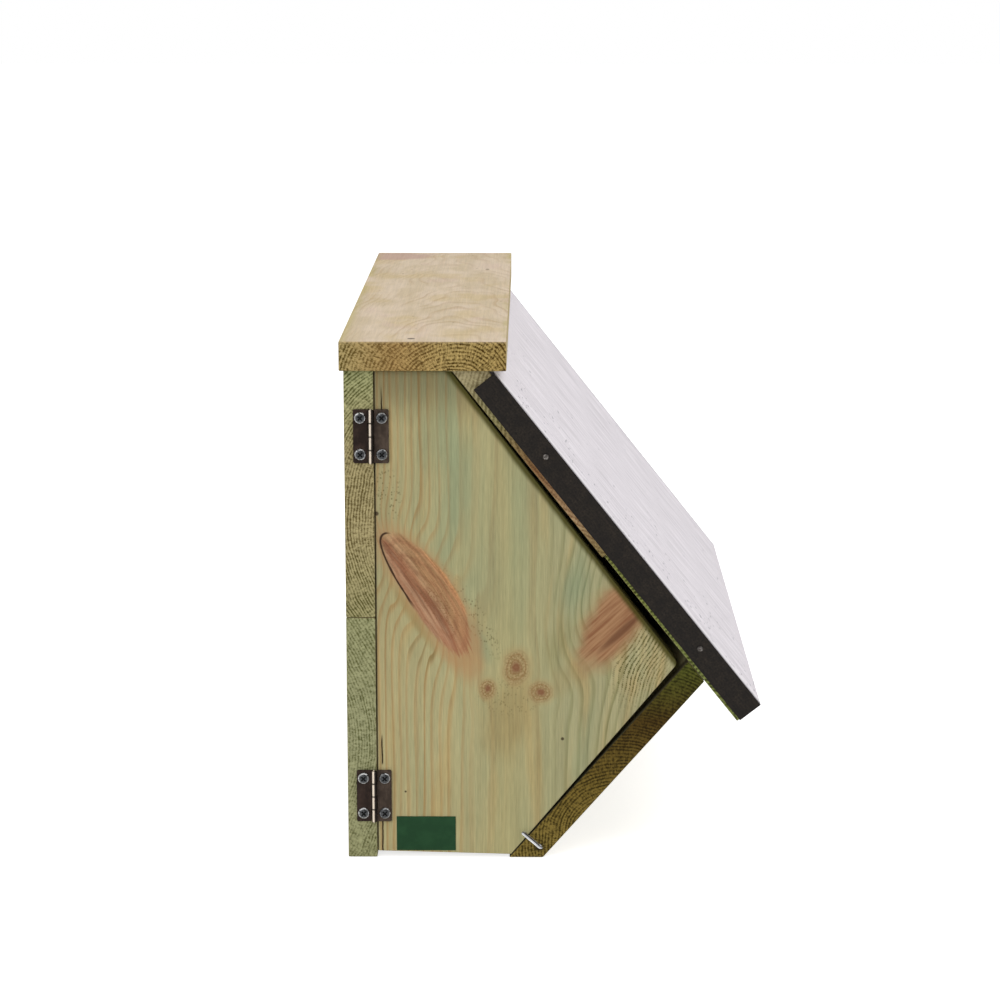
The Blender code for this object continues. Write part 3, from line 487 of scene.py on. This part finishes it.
def door_timber():
    """The door: turned grain, knots, staining, pores, splits and dots, with painted shade under the
    plank and along its edges and painted light at the foot.
    """
    paint = Paint("door_timber", 0.84, specular=0.14)
    x, z = paint.x, paint.z
    bend = knot_bend(paint, x, z)
    grain = Grain(paint, "Z", DOOR_PITH, 0.0031, 3.0, 0.006, bend)
    shift = x + (grain.cloud - 0.5) * 0.010
    colour = paint.ramp(shift, door_x(0.021), door_x(0.165), DOOR_STAIN)
    foot = paint.smooth(z, 0.165, 0.105) * paint.smooth(x, door_x(0.090), door_x(0.050))
    colour = paint.mix(foot * 0.75, colour, rgb(199, 184, 137))
    left = paint.smooth(x, door_x(0.085), door_x(0.060))
    right = paint.smooth(x, door_x(0.105), door_x(0.130))
    early = paint.smooth(grain.line, 0.5, 0.0) * left
    colour = paint.mix(early * 0.35, colour, rgb(166, 166, 122))
    warmth = paint.noise(bend * 95, 7.0, z * 8, 2.0)
    colour = paint.mix(paint.smooth(warmth, 0.50, 0.72) * 0.45, colour, rgb(192, 164, 108))
    colour = paint.mix(paint.smooth(warmth, 0.48, 0.30) * 0.22, colour, rgb(150, 162, 126))
    colour = paint.mix(grain.weighted * left * 0.90, colour, rgb(166, 134, 84))
    colour = paint.mix(grain.weighted * right * 0.75, colour, rgb(122, 122, 78))
    colour = paint.mix(grain.weighted * (1.0 - left) * (1.0 - right) * 0.35, colour, rgb(160, 134, 92))
    dark = paint.smooth(DARK_RINGS.reach(paint, x, z), 1.2, 0.5)
    colour = paint.mix(grain.line * grain.line * dark * 0.30, colour, rgb(100, 102, 60))
    blue = paint.smooth(grain.patch, 0.46, 0.64) * paint.smooth(z, 0.12, 0.17)
    colour = paint.mix(blue * 0.30, colour, rgb(140, 152, 120))
    for spots, tint in ((DOOR_GREENS, rgb(136, 153, 121)), (DOOR_SMUDGES, rgb(166, 144, 96)),
                        (DOOR_SHADES, rgb(128, 120, 72))):
        for spot, strength in spots:
            reach = spot.reach(paint, x, z) + (grain.cloud - 0.5) * 1.2
            colour = paint.mix(paint.smooth(reach, 1.3, 0.3) * strength, colour, tint)
    soft = paint.noise(x * 260, grain.b * 260, z * 7, 2.0)
    tone = 1.0 + (grain.fibre - 0.5) * 0.46 + (grain.fine - 0.5) * 0.42 + (soft - 0.5) * 0.30
    colour = paint.scale_colour(colour, tone)
    colour = door_pores(paint, colour, grain, bend, x, z)
    colour = big_knot(paint, colour, x, z)
    colour = side_knot(paint, colour, x, z)
    colour = small_knots(paint, colour, x, z)
    for place_x, place_z, radius in DOOR_DOTS:
        reach = Spot(place_x, place_z, radius, radius).reach(paint, x, z)
        colour = paint.mix(paint.smooth(reach, 1.1, 0.5) * 0.85, colour, rgb(58, 44, 34))
    # Painted shade under the plank and painted light at the foot, then painted shade along the upper
    # sloping edge and the hinge side
    painted_shade_and_light = paint.smooth(z, 0.032, 0.004) * 0.07 - paint.smooth(z, 0.254, 0.282) * 0.36
    colour = paint.scale_colour(colour, painted_shade_and_light + 1.0)
    slope = door_slope()
    inset = farthest("door_panel", slope) - (x * slope.x + z * slope.z)
    # Painted shade: a dark olive band along the upper sloping edge, where the gap under the roof
    # boards shades the door
    painted_edge_shade = paint.smooth(inset + (grain.cloud - 0.5) * 0.0016, 0.0044, 0.0012)
    colour = paint.mix(painted_edge_shade * 0.92, colour, rgb(72, 68, 20))
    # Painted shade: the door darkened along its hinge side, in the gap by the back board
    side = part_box("door_panel")[0].x
    colour = paint.mix(paint.smooth(x, side + 0.0009, side + 0.0002) * 0.8, colour, rgb(48, 40, 26))
    cracks = crack_share(paint, x, z)
    colour = paint.mix(cracks * 0.95, colour, rgb(44, 26, 14))
    ends, end_height = end_grain(paint, grain, (x, door_x(0), door_x(END_SPAN)),
                                 (rgb(160, 148, 102), rgb(150, 144, 96)),
                                 (rgb(98, 90, 54), rgb(90, 88, 50)), 0.85, 0.55)
    colour = paint.mix(grain.end_share, colour, ends)
    height = (grain.fibre - 0.5) * 0.00006 + (grain.fine - 0.5) * 0.00004 - cracks * 0.0006
    height = height * (1.0 - grain.end_share) + end_height * grain.end_share
    return paint.finish(colour, height)


def door_pores(paint, colour, grain, bend, x, z):
    """Open pores: rows of dots along the turned grain by the nose, loose ones elsewhere."""
    wide = (paint.noise(x * 160, z * 160, 5.0, 1.0) - 0.5) * 0.9
    lower = paint.smooth(z, 0.128, 0.100)
    row = SIDE_KNOT.reach(paint, x, z) * 6.6 * (1.0 - lower) + (bend * 440 - 5.3) * lower
    row = row + wide * 0.45
    row_number = paint.calc("FLOOR", row)
    step = SIDE_KNOT.axes(x, z)[0] * 900 + paint.chance(row_number)
    step_number = paint.calc("FLOOR", step)
    luck = paint.chance(row_number * 31.7 + step_number) - 0.5
    off_row = (row - row_number - 0.5) * 2.0
    off_step = step - step_number - 0.5 + luck * 0.3
    dots = paint.smooth(paint.root(off_row * off_row + off_step * off_step) + luck * 0.3, 0.53, 0.22)
    zone = NOSE_PORES.reach(paint, x, z) + wide * 0.50
    warm = paint.smooth(zone, 1.2, 0.4) * paint.smooth(grain.cloud, 0.40, 0.62)
    colour = paint.mix(warm * 0.35, colour, rgb(188, 156, 104))
    dense = paint.smooth(zone, 1.45, 0.40)
    colour = paint.scale_colour(colour, 1.0 + dense * 0.12)
    colour = paint.mix(dense * dots * 0.95, colour, rgb(74, 74, 26))
    loose = paint.smooth(paint.cells(x * 640, z * 520, 2.0), 0.42, 0.20)
    for spot, strength in PORE_ZONES:
        share = paint.smooth(spot.reach(paint, x, z) + wide * 0.3, 1.2, 0.6)
        colour = paint.mix(share * loose * strength, colour, rgb(98, 92, 54))
    return colour


def big_knot(paint, colour, x, z):
    """Long knot cut at a slant: pink-brown streaks, loops, flecks, an orange flank and a split rim."""
    along, across = BIG_KNOT.axes(x, z)
    streak = paint.noise(across * 620, along * 34, 3.0, 3.0, 0.6)
    band = paint.noise(across * 170, along * 16, 9.0, 2.0)
    grit = paint.noise(x * 700, z * 700, 1.0, 2.0, 0.65)
    wobble = (paint.noise(x * 110, z * 110, 0.0, 2.0) - 0.5) * 0.16
    reach = BIG_KNOT.reach(paint, x, z) + wobble
    across_share = across / BIG_KNOT.wide + (band - 0.5) * 1.5
    inside = paint.ramp(across_share, -1.0, 1.0,
                        (rgb(158, 116, 88), rgb(172, 138, 108), rgb(142, 96, 70), rgb(176, 140, 104),
                         rgb(160, 124, 88), rgb(178, 134, 94), rgb(188, 138, 94)))
    loops = paint.smooth(abs(paint.calc("FRACT", reach * 4.2 + (band - 0.5) * 1.6) - 0.5), 0.30, 0.05)
    inside = paint.mix(loops * 0.40, inside, rgb(138, 92, 66))
    inside = paint.scale_colour(inside, 1.14 + (streak - 0.5) * 1.8 + (grit - 0.5) * 0.8)
    fleck = paint.smooth(grit, 0.52, 0.64) * paint.smooth(abs(along - 0.010), 0.030, 0.012)
    fleck = fleck * paint.smooth(abs(across_share), 0.8, 0.3)
    inside = paint.mix(fleck * 0.60, inside, rgb(118, 80, 50))
    low_end = paint.smooth(along, 0.012, 0.040) + paint.smooth(across_share, -0.35, -0.80) * 0.5
    inside = paint.mix(low_end * 0.45, inside, rgb(184, 124, 90))
    # The lower tip frays into the wood around it, which is warmer there
    tip = paint.smooth(along, 0.008, 0.042)
    frayed = reach + tip * ((streak - 0.5) * 0.7 + 0.13)
    halo = paint.smooth(reach, 1.42, 1.0) * (tip * 0.30 + 0.42)
    colour = paint.mix(halo, colour, rgb(186, 144, 100))
    colour = paint.mix(paint.smooth(frayed, 1.08, 0.92), colour, inside)
    # Split along the lower-left rim of the upper half, rounding over the top end
    gap = BIG_KNOT.gap(paint, x, z) + wobble * 0.004
    thick = paint.noise(along * 140, 3.0, 3.0, 1.0) * 0.0008 + 0.0002
    rim = paint.smooth(abs(gap + 0.0003) / thick, 1.3, 0.5)
    rim = rim * paint.smooth(across, 0.0040, 0.0010) * paint.smooth(along, 0.003, -0.006)
    return paint.mix(rim * 0.92, colour, rgb(48, 30, 22))


def side_knot(paint, colour, x, z):
    """Knot cut through by the sloping edge: soft streaks, one of them dark red-brown."""
    along, across = SIDE_KNOT_HEART.axes(x, z)
    streak = paint.noise(across * 420, along * 22, 13.0, 3.0, 0.6)
    wobble = (paint.noise(x * 90, z * 90, 4.0, 2.0) - 0.5) * 0.60
    reach = SIDE_KNOT.reach(paint, x, z) + wobble
    inside = paint.mix(paint.smooth(streak, 0.36, 0.66), rgb(180, 138, 100), rgb(146, 100, 70))
    heart = SIDE_KNOT_HEART.reach(paint, x, z) + (streak - 0.5) * 0.9
    inside = paint.mix(paint.smooth(heart, 1.2, 0.4) * 0.80, inside, rgb(112, 72, 50))
    colour = paint.mix(paint.smooth(reach, 1.4, 0.9) * 0.50, colour, rgb(176, 142, 98))
    return paint.mix(paint.smooth(reach, 1.14, 0.66), colour, inside)


def small_knots(paint, colour, x, z):
    """Three pin knots, each with a soft ring and a red-brown heart."""
    for number, knot in enumerate(SMALL_KNOTS):
        wobble = (paint.noise(x * 150, z * 150, float(number), 2.0) - 0.5) * 0.40
        reach = knot.reach(paint, x, z) + wobble
        grit = paint.noise(x * 800, z * 800, float(number), 2.0, 0.6)
        inside = paint.mix(paint.smooth(grit, 0.38, 0.62), rgb(186, 158, 114), rgb(140, 112, 70))
        rings = paint.smooth(abs(paint.calc("FRACT", reach * 3.4) - 0.5), 0.28, 0.05)
        colour = paint.mix(paint.smooth(reach, 1.6, 0.9) * 0.40, colour, rgb(184, 156, 108))
        colour = paint.mix(paint.smooth(reach, 1.15, 0.70) * 0.65, colour, inside)
        colour = paint.mix(rings * paint.smooth(reach, 1.15, 0.80) * 0.45, colour, rgb(142, 106, 66))
        colour = paint.mix(paint.smooth(reach, 0.55, 0.12) * 0.85, colour, rgb(138, 92, 66))
    return colour


def crack_share(paint, x, z):
    """1 inside the fine splits of the door."""
    wander = (paint.noise(x * 60, z * 90) - 0.5) * 0.0012
    total = None
    for place, low, high, fade in DOOR_CRACKS:
        width = paint.smooth(abs(x - place + wander), 0.00052, 0.00022)
        length = paint.smooth(z, low, low + 0.002) * paint.smooth(z, high, high - fade)
        share = width * length
        total = share if total is None else paint.calc("MAXIMUM", total, share)
    return total


def farthest(name, direction):
    """How far a piece reaches in a direction."""
    return max(vertex.co.dot(direction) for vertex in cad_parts[name].data.vertices)


def door_slope():
    """The way that the door's upper sloping edge faces."""
    points = [vertex.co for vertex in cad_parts["door_panel"].data.vertices]
    top = max(point.z for point in points)
    head = max((point for point in points if point.z > top - 0.0002), key=lambda point: point.x)
    tilt = min(math.atan2(head.z - point.z, point.x - head.x)
               for point in points if point.x > head.x + 0.001)
    return Vector((math.sin(tilt), 0, math.cos(tilt)))


def roof_sheet():
    """Pale roofing sheet with fine streaks down the slope, dark specks and dark cut edges."""
    paint = Paint("roof_cover", 0.6, specular=0.3)
    down = paint.x * math.cos(ROOF_TILT) - paint.z * math.sin(ROOF_TILT)
    streak = paint.noise(down * 26, paint.y * 420, 0.0, 3.0, 0.65)
    wide = paint.noise(down * 8, paint.y * 160, 4.0, 2.0)
    grain = paint.noise(down * 900, paint.y * 900, 2.0, 2.0)
    colour = paint.mix(paint.smooth(streak, 0.34, 0.66), rgb(211, 205, 210), rgb(243, 237, 242))
    colour = paint.scale_colour(colour, 1.0 + (wide - 0.5) * 0.14 + (grain - 0.5) * 0.34)
    nearest = paint.cells(down * 330, paint.y * 130 + down * 20, 1.0)
    thick = paint.noise(down * 62, paint.y * 32, 7.0, 2.0)
    toward_near = paint.smooth(paint.y, 0.02, -0.19)
    size = paint.noise(down * 90, paint.y * 60, 3.0, 1.0) * 0.24
    speck = paint.smooth(nearest - size, 0.14, 0.02)
    speck = speck * paint.smooth(thick + toward_near * 0.14, 0.61, 0.69)
    colour = paint.mix(speck * 0.75, colour, rgb(96, 94, 106))
    scratch = paint.smooth(paint.noise(down * 30, paint.y * 700, 12.0, 2.0, 0.7), 0.64, 0.72)
    colour = paint.mix(scratch * toward_near * 0.45, colour, rgb(160, 156, 168))
    # A dark line where the sheet ends behind the strip, and beside it a pale line of painted highlight
    inset = paint.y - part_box("roof_cover")[0].y
    colour = paint.mix(paint.smooth(inset, 0.0050, 0.0015) * 0.55, colour, rgb(120, 116, 120))
    pale = paint.smooth(abs(inset - 0.0085), 0.0040, 0.0010)
    colour = paint.mix(pale * 0.6, colour, rgb(247, 244, 245))
    top = paint.smooth(paint.facing(ROOF_FACE), 0.80, 0.92)
    rough = paint.noise(paint.x * 400, paint.y * 90, paint.z * 400)
    edge = paint.mix(rough, rgb(46, 42, 40), rgb(70, 66, 64))
    colour = paint.mix(top, edge, colour)
    height = streak * 0.00006 + grain * 0.00003 - speck * 0.0002
    return paint.finish(colour, height)


def strip_paint():
    """Near-black strip, a little brown, with a painted sheen on its upper edge."""
    paint = Paint("edge_strip", 0.6, specular=0.2)
    down = paint.x * math.cos(ROOF_TILT) - paint.z * math.sin(ROOF_TILT)
    across = paint.x * math.sin(ROOF_TILT) + paint.z * math.cos(ROOF_TILT)
    brushed = paint.noise(down * 30, across * 800, paint.y * 300, 2.0)
    mottled = paint.noise(down * 150, across * 150, paint.y * 150, 3.0)
    colour = paint.mix(paint.smooth(mottled, 0.30, 0.75), rgb(22, 17, 13), rgb(36, 30, 24))
    dust = paint.noise(down * 900, across * 900, paint.y * 900, 2.0)
    colour = paint.scale_colour(colour, 0.96 + (brushed - 0.5) * 0.9 + (dust - 0.5) * 2.6)
    scuff = paint.smooth(paint.noise(down * 60, across * 500, 5.0, 3.0, 0.7), 0.70, 0.78)
    colour = paint.mix(scuff * 0.30, colour, rgb(78, 72, 70))
    # Painted sheen: the face turned up the slope is painted pale grey
    upper = paint.smooth(paint.facing(ROOF_FACE), 0.3, 0.7)
    colour = paint.mix(upper, colour, rgb(158, 154, 157))
    height = brushed * 0.00002 + mottled * 0.00002
    return paint.finish(colour, height, 0.55 + mottled * 0.12)


def hinge_steel(name, axis_x, joints):
    """Browned steel with upright brush marks, a painted highlight along the crown of the knuckles and
    a painted dark reflection beside it.

    joints are the heights where two knuckles meet.
    """
    paint = Paint(name, 0.4, metallic=0.7, specular=0.3)
    x, y, z = paint.x, paint.y, paint.z
    brushed = paint.noise(x * 1500, y * 1500, z * 60, 2.0)
    mottled = paint.noise(x * 220, y * 220, z * 160, 3.0)
    right = paint.smooth(x, axis_x - 0.002, axis_x + 0.006)
    dark = paint.mix(right, rgb(36, 26, 22), rgb(52, 42, 35))
    pale = paint.mix(right, rgb(54, 41, 35), rgb(76, 64, 55))
    colour = paint.mix(paint.smooth(mottled, 0.35, 0.7), dark, pale)
    colour = paint.scale_colour(colour, 1.0 + (brushed - 0.5) * 0.7)
    # Painted highlight along the crown of the knuckles, with a painted dark reflection beside it
    crown = paint.smooth(abs(x - axis_x + 0.0004), 0.0008, 0.0003)
    outer = paint.smooth(y, NEAR_Y - 0.0012, NEAR_Y - 0.0022)
    beside = paint.smooth(abs(x - axis_x - 0.0012), 0.0010, 0.0004) * outer
    colour = paint.mix(beside * 0.8, colour, rgb(20, 15, 13))
    colour = paint.mix(crown * outer * 0.95, colour, rgb(226, 212, 194))
    for joint in joints:
        seam = paint.smooth(abs(z - joint), 0.0007, 0.0002) * outer
        colour = paint.mix(seam * 0.8, colour, rgb(30, 22, 18))
    height = brushed * 0.00003 + mottled * 0.00003
    return paint.finish(colour, height, 0.36 + mottled * 0.2)


def screw_steel(axis_x):
    """Dark hinge screws: a painted highlight on the rim of the head, stronger left of the knuckles,
    and painted shade, near black, in the recess.
    """
    paint = Paint("hinge_screw", 0.34, metallic=0.9)
    gx, gy, gz = paint.split(paint.place.outputs["Generated"])
    dx = gx * 2.0 - 1.0
    dz = gz * 2.0 - 1.0
    radius = paint.root(dx * dx + dz * dz)
    mottled = paint.noise(paint.x * 900, paint.y * 900, paint.z * 900, 3.0)
    # Painted highlight on the rim, stronger on the screws left of the knuckles
    bright = paint.smooth(paint.x, axis_x + 0.001, axis_x - 0.001) * 0.4 + 0.45
    rim = paint.smooth(radius, 0.74, 0.86) * paint.smooth(mottled, 0.30, 0.55)
    colour = paint.mix(mottled, rgb(40, 40, 42), rgb(84, 86, 88))
    colour = paint.mix(rim * bright, colour, rgb(206, 206, 206))
    # Painted shade: the recess near black
    recess = paint.smooth(radius, 0.62, 0.54) * paint.smooth(gy, 0.016, 0.030)
    colour = paint.mix(recess * 0.95, colour, rgb(10, 10, 10))
    return paint.finish(colour, mottled * 0.00002, 0.26 + mottled * 0.16)


def steel(name, dark, light, roughness):
    """Plated steel with light handling marks."""
    paint = Paint(name, roughness, metallic=1.0)
    x, y, z = paint.x, paint.y, paint.z
    mottled = paint.noise(x * 900, y * 900, z * 900, 3.0)
    colour = paint.mix(paint.smooth(mottled, 0.3, 0.7), dark, light)
    return paint.finish(colour, mottled * 0.00002, roughness * 0.8 + mottled * (roughness * 0.5))


def hook_wire(run):
    """Bright plated wire; run is the way of its bar, along which a painted dark reflection lies."""
    paint = Paint("hook", 0.14, metallic=1.0)
    x, y, z = paint.x, paint.y, paint.z
    mottled = paint.noise(x * 300, y * 300, z * 300, 3.0)
    colour = paint.mix(paint.smooth(mottled, 0.3, 0.7), rgb(196, 198, 202), rgb(226, 228, 232))
    # Painted reflection: a dark line along the bar, on the faces turned to -Y
    across = paint.facing((-run[1], 0, run[0]))
    front = paint.smooth(paint.facing((0, -1, 0)), 0.3, 0.6)
    line = paint.smooth(abs(across - 0.26), 0.42, 0.22) * front
    colour = paint.mix(line * 0.85, colour, rgb(26, 26, 30))
    return paint.finish(colour, mottled * 0.00002, 0.12 + mottled * 0.08)


def label_paper():
    """Plain dark green label with a faint print texture."""
    paint = Paint("sticker", 0.6, specular=0.2)
    x, z = paint.x, paint.z
    fleck = paint.noise(x * 2600, z * 2600, 0.0, 2.0)
    worn = paint.noise(x * 130, z * 130, 2.0, 3.0)
    colour = paint.mix(paint.smooth(worn, 0.35, 0.75), rgb(22, 62, 33), rgb(32, 72, 41))
    colour = paint.scale_colour(colour, 1.0 + (fleck - 0.5) * 0.2)
    return paint.finish(colour, fleck * 0.00001, 0.52 + worn * 0.14)


def assign(material, *names):
    for name in names:
        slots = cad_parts[name].data.materials
        slots.clear()
        slots.append(material)


def dress_boards():
    hidden = (("x", door_x(0), door_x(END_SPAN)), OLIVE_LIGHT, OLIVE_DARK)
    roof_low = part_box("roof_board_lower")[0].z
    roof_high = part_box("roof_board_upper")[1].z
    assign(door_timber(), "door_panel")
    assign(plank_timber(), "top_plank")
    assign(timber("end_panel_timber", "Z", (door_x(0.06), -NEAR_Y + 0.05), 0.0040, 8.0,
                  *hidden), "end_panel")
    assign(timber("upper_back_timber", "Y", (door_x(0.0890), 0.2019), 0.0016, 11.0,
                  ("z", BACK_BOARD_HEIGHT, BACK_BOARD_HEIGHT * 2),
                  (rgb(170, 162, 116), rgb(182, 168, 122), rgb(182, 168, 122), rgb(178, 180, 130)),
                  (rgb(96, 94, 50), rgb(100, 86, 46), rgb(104, 92, 52), rgb(90, 96, 50)),
                  line_share=0.88, speckle=0.56), "back_board_upper")
    assign(timber("lower_back_timber", "Y", (door_x(-0.0930), 0.0726), 0.0017, 14.0,
                  ("z", 0, BACK_BOARD_HEIGHT),
                  (rgb(168, 168, 124), rgb(166, 166, 126), rgb(166, 166, 122)),
                  (rgb(98, 98, 56), rgb(100, 102, 60), rgb(98, 100, 56)),
                  line_share=0.62, speckle=0.56), "back_board_lower")
    assign(timber("upper_roof_timber", "Y", (door_x(0.1500), 0.2600), 0.0024, 21.0,
                  ("z", 0.175, roof_high),
                  (rgb(144, 132, 78), rgb(192, 160, 120), rgb(152, 112, 74), rgb(162, 153, 106),
                   rgb(190, 177, 138)),
                  (rgb(72, 66, 28), rgb(144, 108, 74), rgb(108, 74, 44), rgb(104, 98, 56),
                   rgb(138, 124, 90)),
                  speckle=0.5), "roof_board_upper")
    assign(timber("lower_roof_timber", "Y", (door_x(0.2100), 0.0800), 0.0024, 24.0,
                  ("z", roof_low, roof_high),
                  (rgb(150, 160, 92), rgb(150, 158, 86), rgb(146, 146, 78), rgb(150, 140, 84)),
                  (rgb(60, 66, 22), rgb(66, 70, 26), rgb(70, 66, 28), rgb(90, 84, 40)),
                  speckle=0.6), "roof_board_lower")
    assign(timber("entrance_timber", "Y", (door_x(0.1590), 0.0090), 0.0019, 27.0,
                  ("z", 0.0, 0.125),
                  (rgb(146, 126, 64), rgb(124, 104, 46), rgb(78, 60, 20), rgb(90, 98, 38)),
                  (rgb(70, 57, 13), rgb(54, 43, 6), rgb(44, 30, 2), rgb(42, 48, 6)),
                  line_share=0.86, speckle=0.66, seam=LOWER_FACE,
                  mark=HOOK_SHADOW_SPOT), "entrance_board")
    assign(timber("floor_timber", "Y", (door_x(0.0600), -0.0300), 0.0030, 31.0,
                  *hidden), "floor_board")


def dress_metal():
    assign(roof_sheet(), "roof_cover")
    assign(strip_paint(), "edge_strip_near", "edge_strip_far")
    low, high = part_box("hinge_pin_upper")
    joints = []
    for leaf in ("hinge_door_leaf_upper", "hinge_door_leaf_lower"):
        foot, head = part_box(leaf)[0].z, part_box(leaf)[1].z
        joints += [foot + (head - foot) * share for share in (0.25, 0.50, 0.75)]
    axis_x = (low.x + high.x) / 2
    hinges = [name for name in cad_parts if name.startswith("hinge_")]
    screws = [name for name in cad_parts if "screw" in name]
    assign(hinge_steel("hinge", axis_x, joints), *(name for name in hinges if name not in screws))
    assign(screw_steel(axis_x), *(name for name in hinges if name in screws))
    assign(steel("strip_nail", rgb(58, 54, 52), rgb(120, 116, 112), 0.4),
           *(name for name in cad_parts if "nail" in name))
    assign(steel("fastener", rgb(120, 120, 122), rgb(176, 176, 178), 0.36),
           *(name for name in screws if name not in hinges))
    assign(hook_wire(HOOK_RUN), "turn_hook")
    assign(label_paper(), "blank_sticker")


def soften_edges():
    """A fine bevel on the pieces that were cut square."""
    for name, width in BEVELS.items():
        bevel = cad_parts[name].modifiers.new("edge", "BEVEL")
        bevel.width = width
        bevel.segments = 2
        bevel.limit_method = "ANGLE"
        bevel.angle_limit = BEVEL_ANGLE


def make_floor():
    mesh = bpy.data.meshes.new("floor")
    half = FLOOR_HALF
    corners = [(-half, -half, 0), (half, -half, 0), (half, half, 0), (-half, half, 0)]
    mesh.from_pydata(corners, [], [(0, 1, 2, 3)])
    floor = bpy.data.objects.new("floor", mesh)
    floor.location.z = BASE_Z - FLOOR_DROP
    bpy.context.scene.collection.objects.link(floor)
    material = bpy.data.materials.new("floor")
    material.use_nodes = True
    tree = material.node_tree
    tree.nodes.clear()
    output = tree.nodes.new("ShaderNodeOutputMaterial")
    diffuse = tree.nodes.new("ShaderNodeBsdfDiffuse")
    diffuse.inputs["Color"].default_value = (FLOOR_GREY, FLOOR_GREY, FLOOR_GREY, 1)
    glow = tree.nodes.new("ShaderNodeEmission")
    seen = seen_directly(tree)
    strength = tree.nodes.new("ShaderNodeMath")
    strength.operation = "MULTIPLY"
    strength.inputs[1].default_value = FLOOR_GLOW
    tree.links.new(seen, strength.inputs[0])
    tree.links.new(strength.outputs[0], glow.inputs["Strength"])
    both = tree.nodes.new("ShaderNodeAddShader")
    tree.links.new(diffuse.outputs[0], both.inputs[0])
    tree.links.new(glow.outputs[0], both.inputs[1])
    tree.links.new(both.outputs[0], output.inputs["Surface"])
    mesh.materials.append(material)


def seen_directly(tree):
    """1 for what the camera, a mirror or glass sees, 0 for light that falls on the object."""
    path = tree.nodes.new("ShaderNodeLightPath")
    total = path.outputs["Is Camera Ray"]
    for name in ("Is Glossy Ray", "Is Transmission Ray"):
        node = tree.nodes.new("ShaderNodeMath")
        node.operation = "MAXIMUM"
        tree.links.new(total, node.inputs[0])
        tree.links.new(path.outputs[name], node.inputs[1])
        total = node.outputs[0]
    return total


def make_world():
    """White to the eye and plain ambient light; metal also sees the dark side of the studio at -Y."""
    world = bpy.data.worlds.new("studio")
    bpy.context.scene.world = world
    world.use_nodes = True
    tree = world.node_tree
    tree.nodes.clear()
    output = tree.nodes.new("ShaderNodeOutputWorld")
    ambient = tree.nodes.new("ShaderNodeBackground")
    ambient.inputs["Color"].default_value = (1, 1, 1, 1)
    ambient.inputs["Strength"].default_value = AMBIENT
    white = tree.nodes.new("ShaderNodeBackground")
    white.inputs["Color"].default_value = (1, 1, 1, 1)
    place = tree.nodes.new("ShaderNodeTexCoord")
    split = tree.nodes.new("ShaderNodeSeparateXYZ")
    tree.links.new(place.outputs["Generated"], split.inputs[0])
    side = tree.nodes.new("ShaderNodeMapRange")
    side.interpolation_type = "SMOOTHSTEP"
    side.inputs["From Min"].default_value = STUDIO_DARK_FROM
    side.inputs["From Max"].default_value = STUDIO_DARK_TO
    side.inputs["To Min"].default_value = STUDIO_DARK
    side.inputs["To Max"].default_value = 1.0
    tree.links.new(split.outputs["Y"], side.inputs["Value"])
    path = tree.nodes.new("ShaderNodeLightPath")
    level = tree.nodes.new("ShaderNodeMath")
    level.operation = "MAXIMUM"
    tree.links.new(side.outputs["Result"], level.inputs[0])
    tree.links.new(path.outputs["Is Camera Ray"], level.inputs[1])
    tree.links.new(level.outputs[0], white.inputs["Strength"])
    pick = tree.nodes.new("ShaderNodeMixShader")
    tree.links.new(seen_directly(tree), pick.inputs[0])
    tree.links.new(ambient.outputs[0], pick.inputs[1])
    tree.links.new(white.outputs[0], pick.inputs[2])
    tree.links.new(pick.outputs[0], output.inputs["Surface"])


def make_light(name, place, size, energy):
    data = bpy.data.lights.new(name, "AREA")
    data.shape = "SQUARE"
    data.size = size
    data.energy = energy
    light = bpy.data.objects.new(name, data)
    light.location = place
    light.rotation_euler = (Vector(LIGHT_AIM) - Vector(place)).to_track_quat("-Z", "Y").to_euler()
    bpy.context.scene.collection.objects.link(light)


def make_camera():
    data = bpy.data.cameras.new("camera")
    data.lens = CAMERA_LENS
    data.sensor_width = SENSOR_WIDTH
    camera = bpy.data.objects.new("camera", data)
    camera.location = CAMERA_PLACE
    camera.rotation_euler = (math.pi / 2 - CAMERA_PITCH, 0, -CAMERA_YAW)
    bpy.context.scene.collection.objects.link(camera)
    bpy.context.scene.camera = camera


dress_boards()
dress_metal()
soften_edges()
make_floor()
make_world()
for light in LIGHTS:
    make_light(*light)
make_camera()
bpy.context.scene.view_settings.view_transform = "Standard"
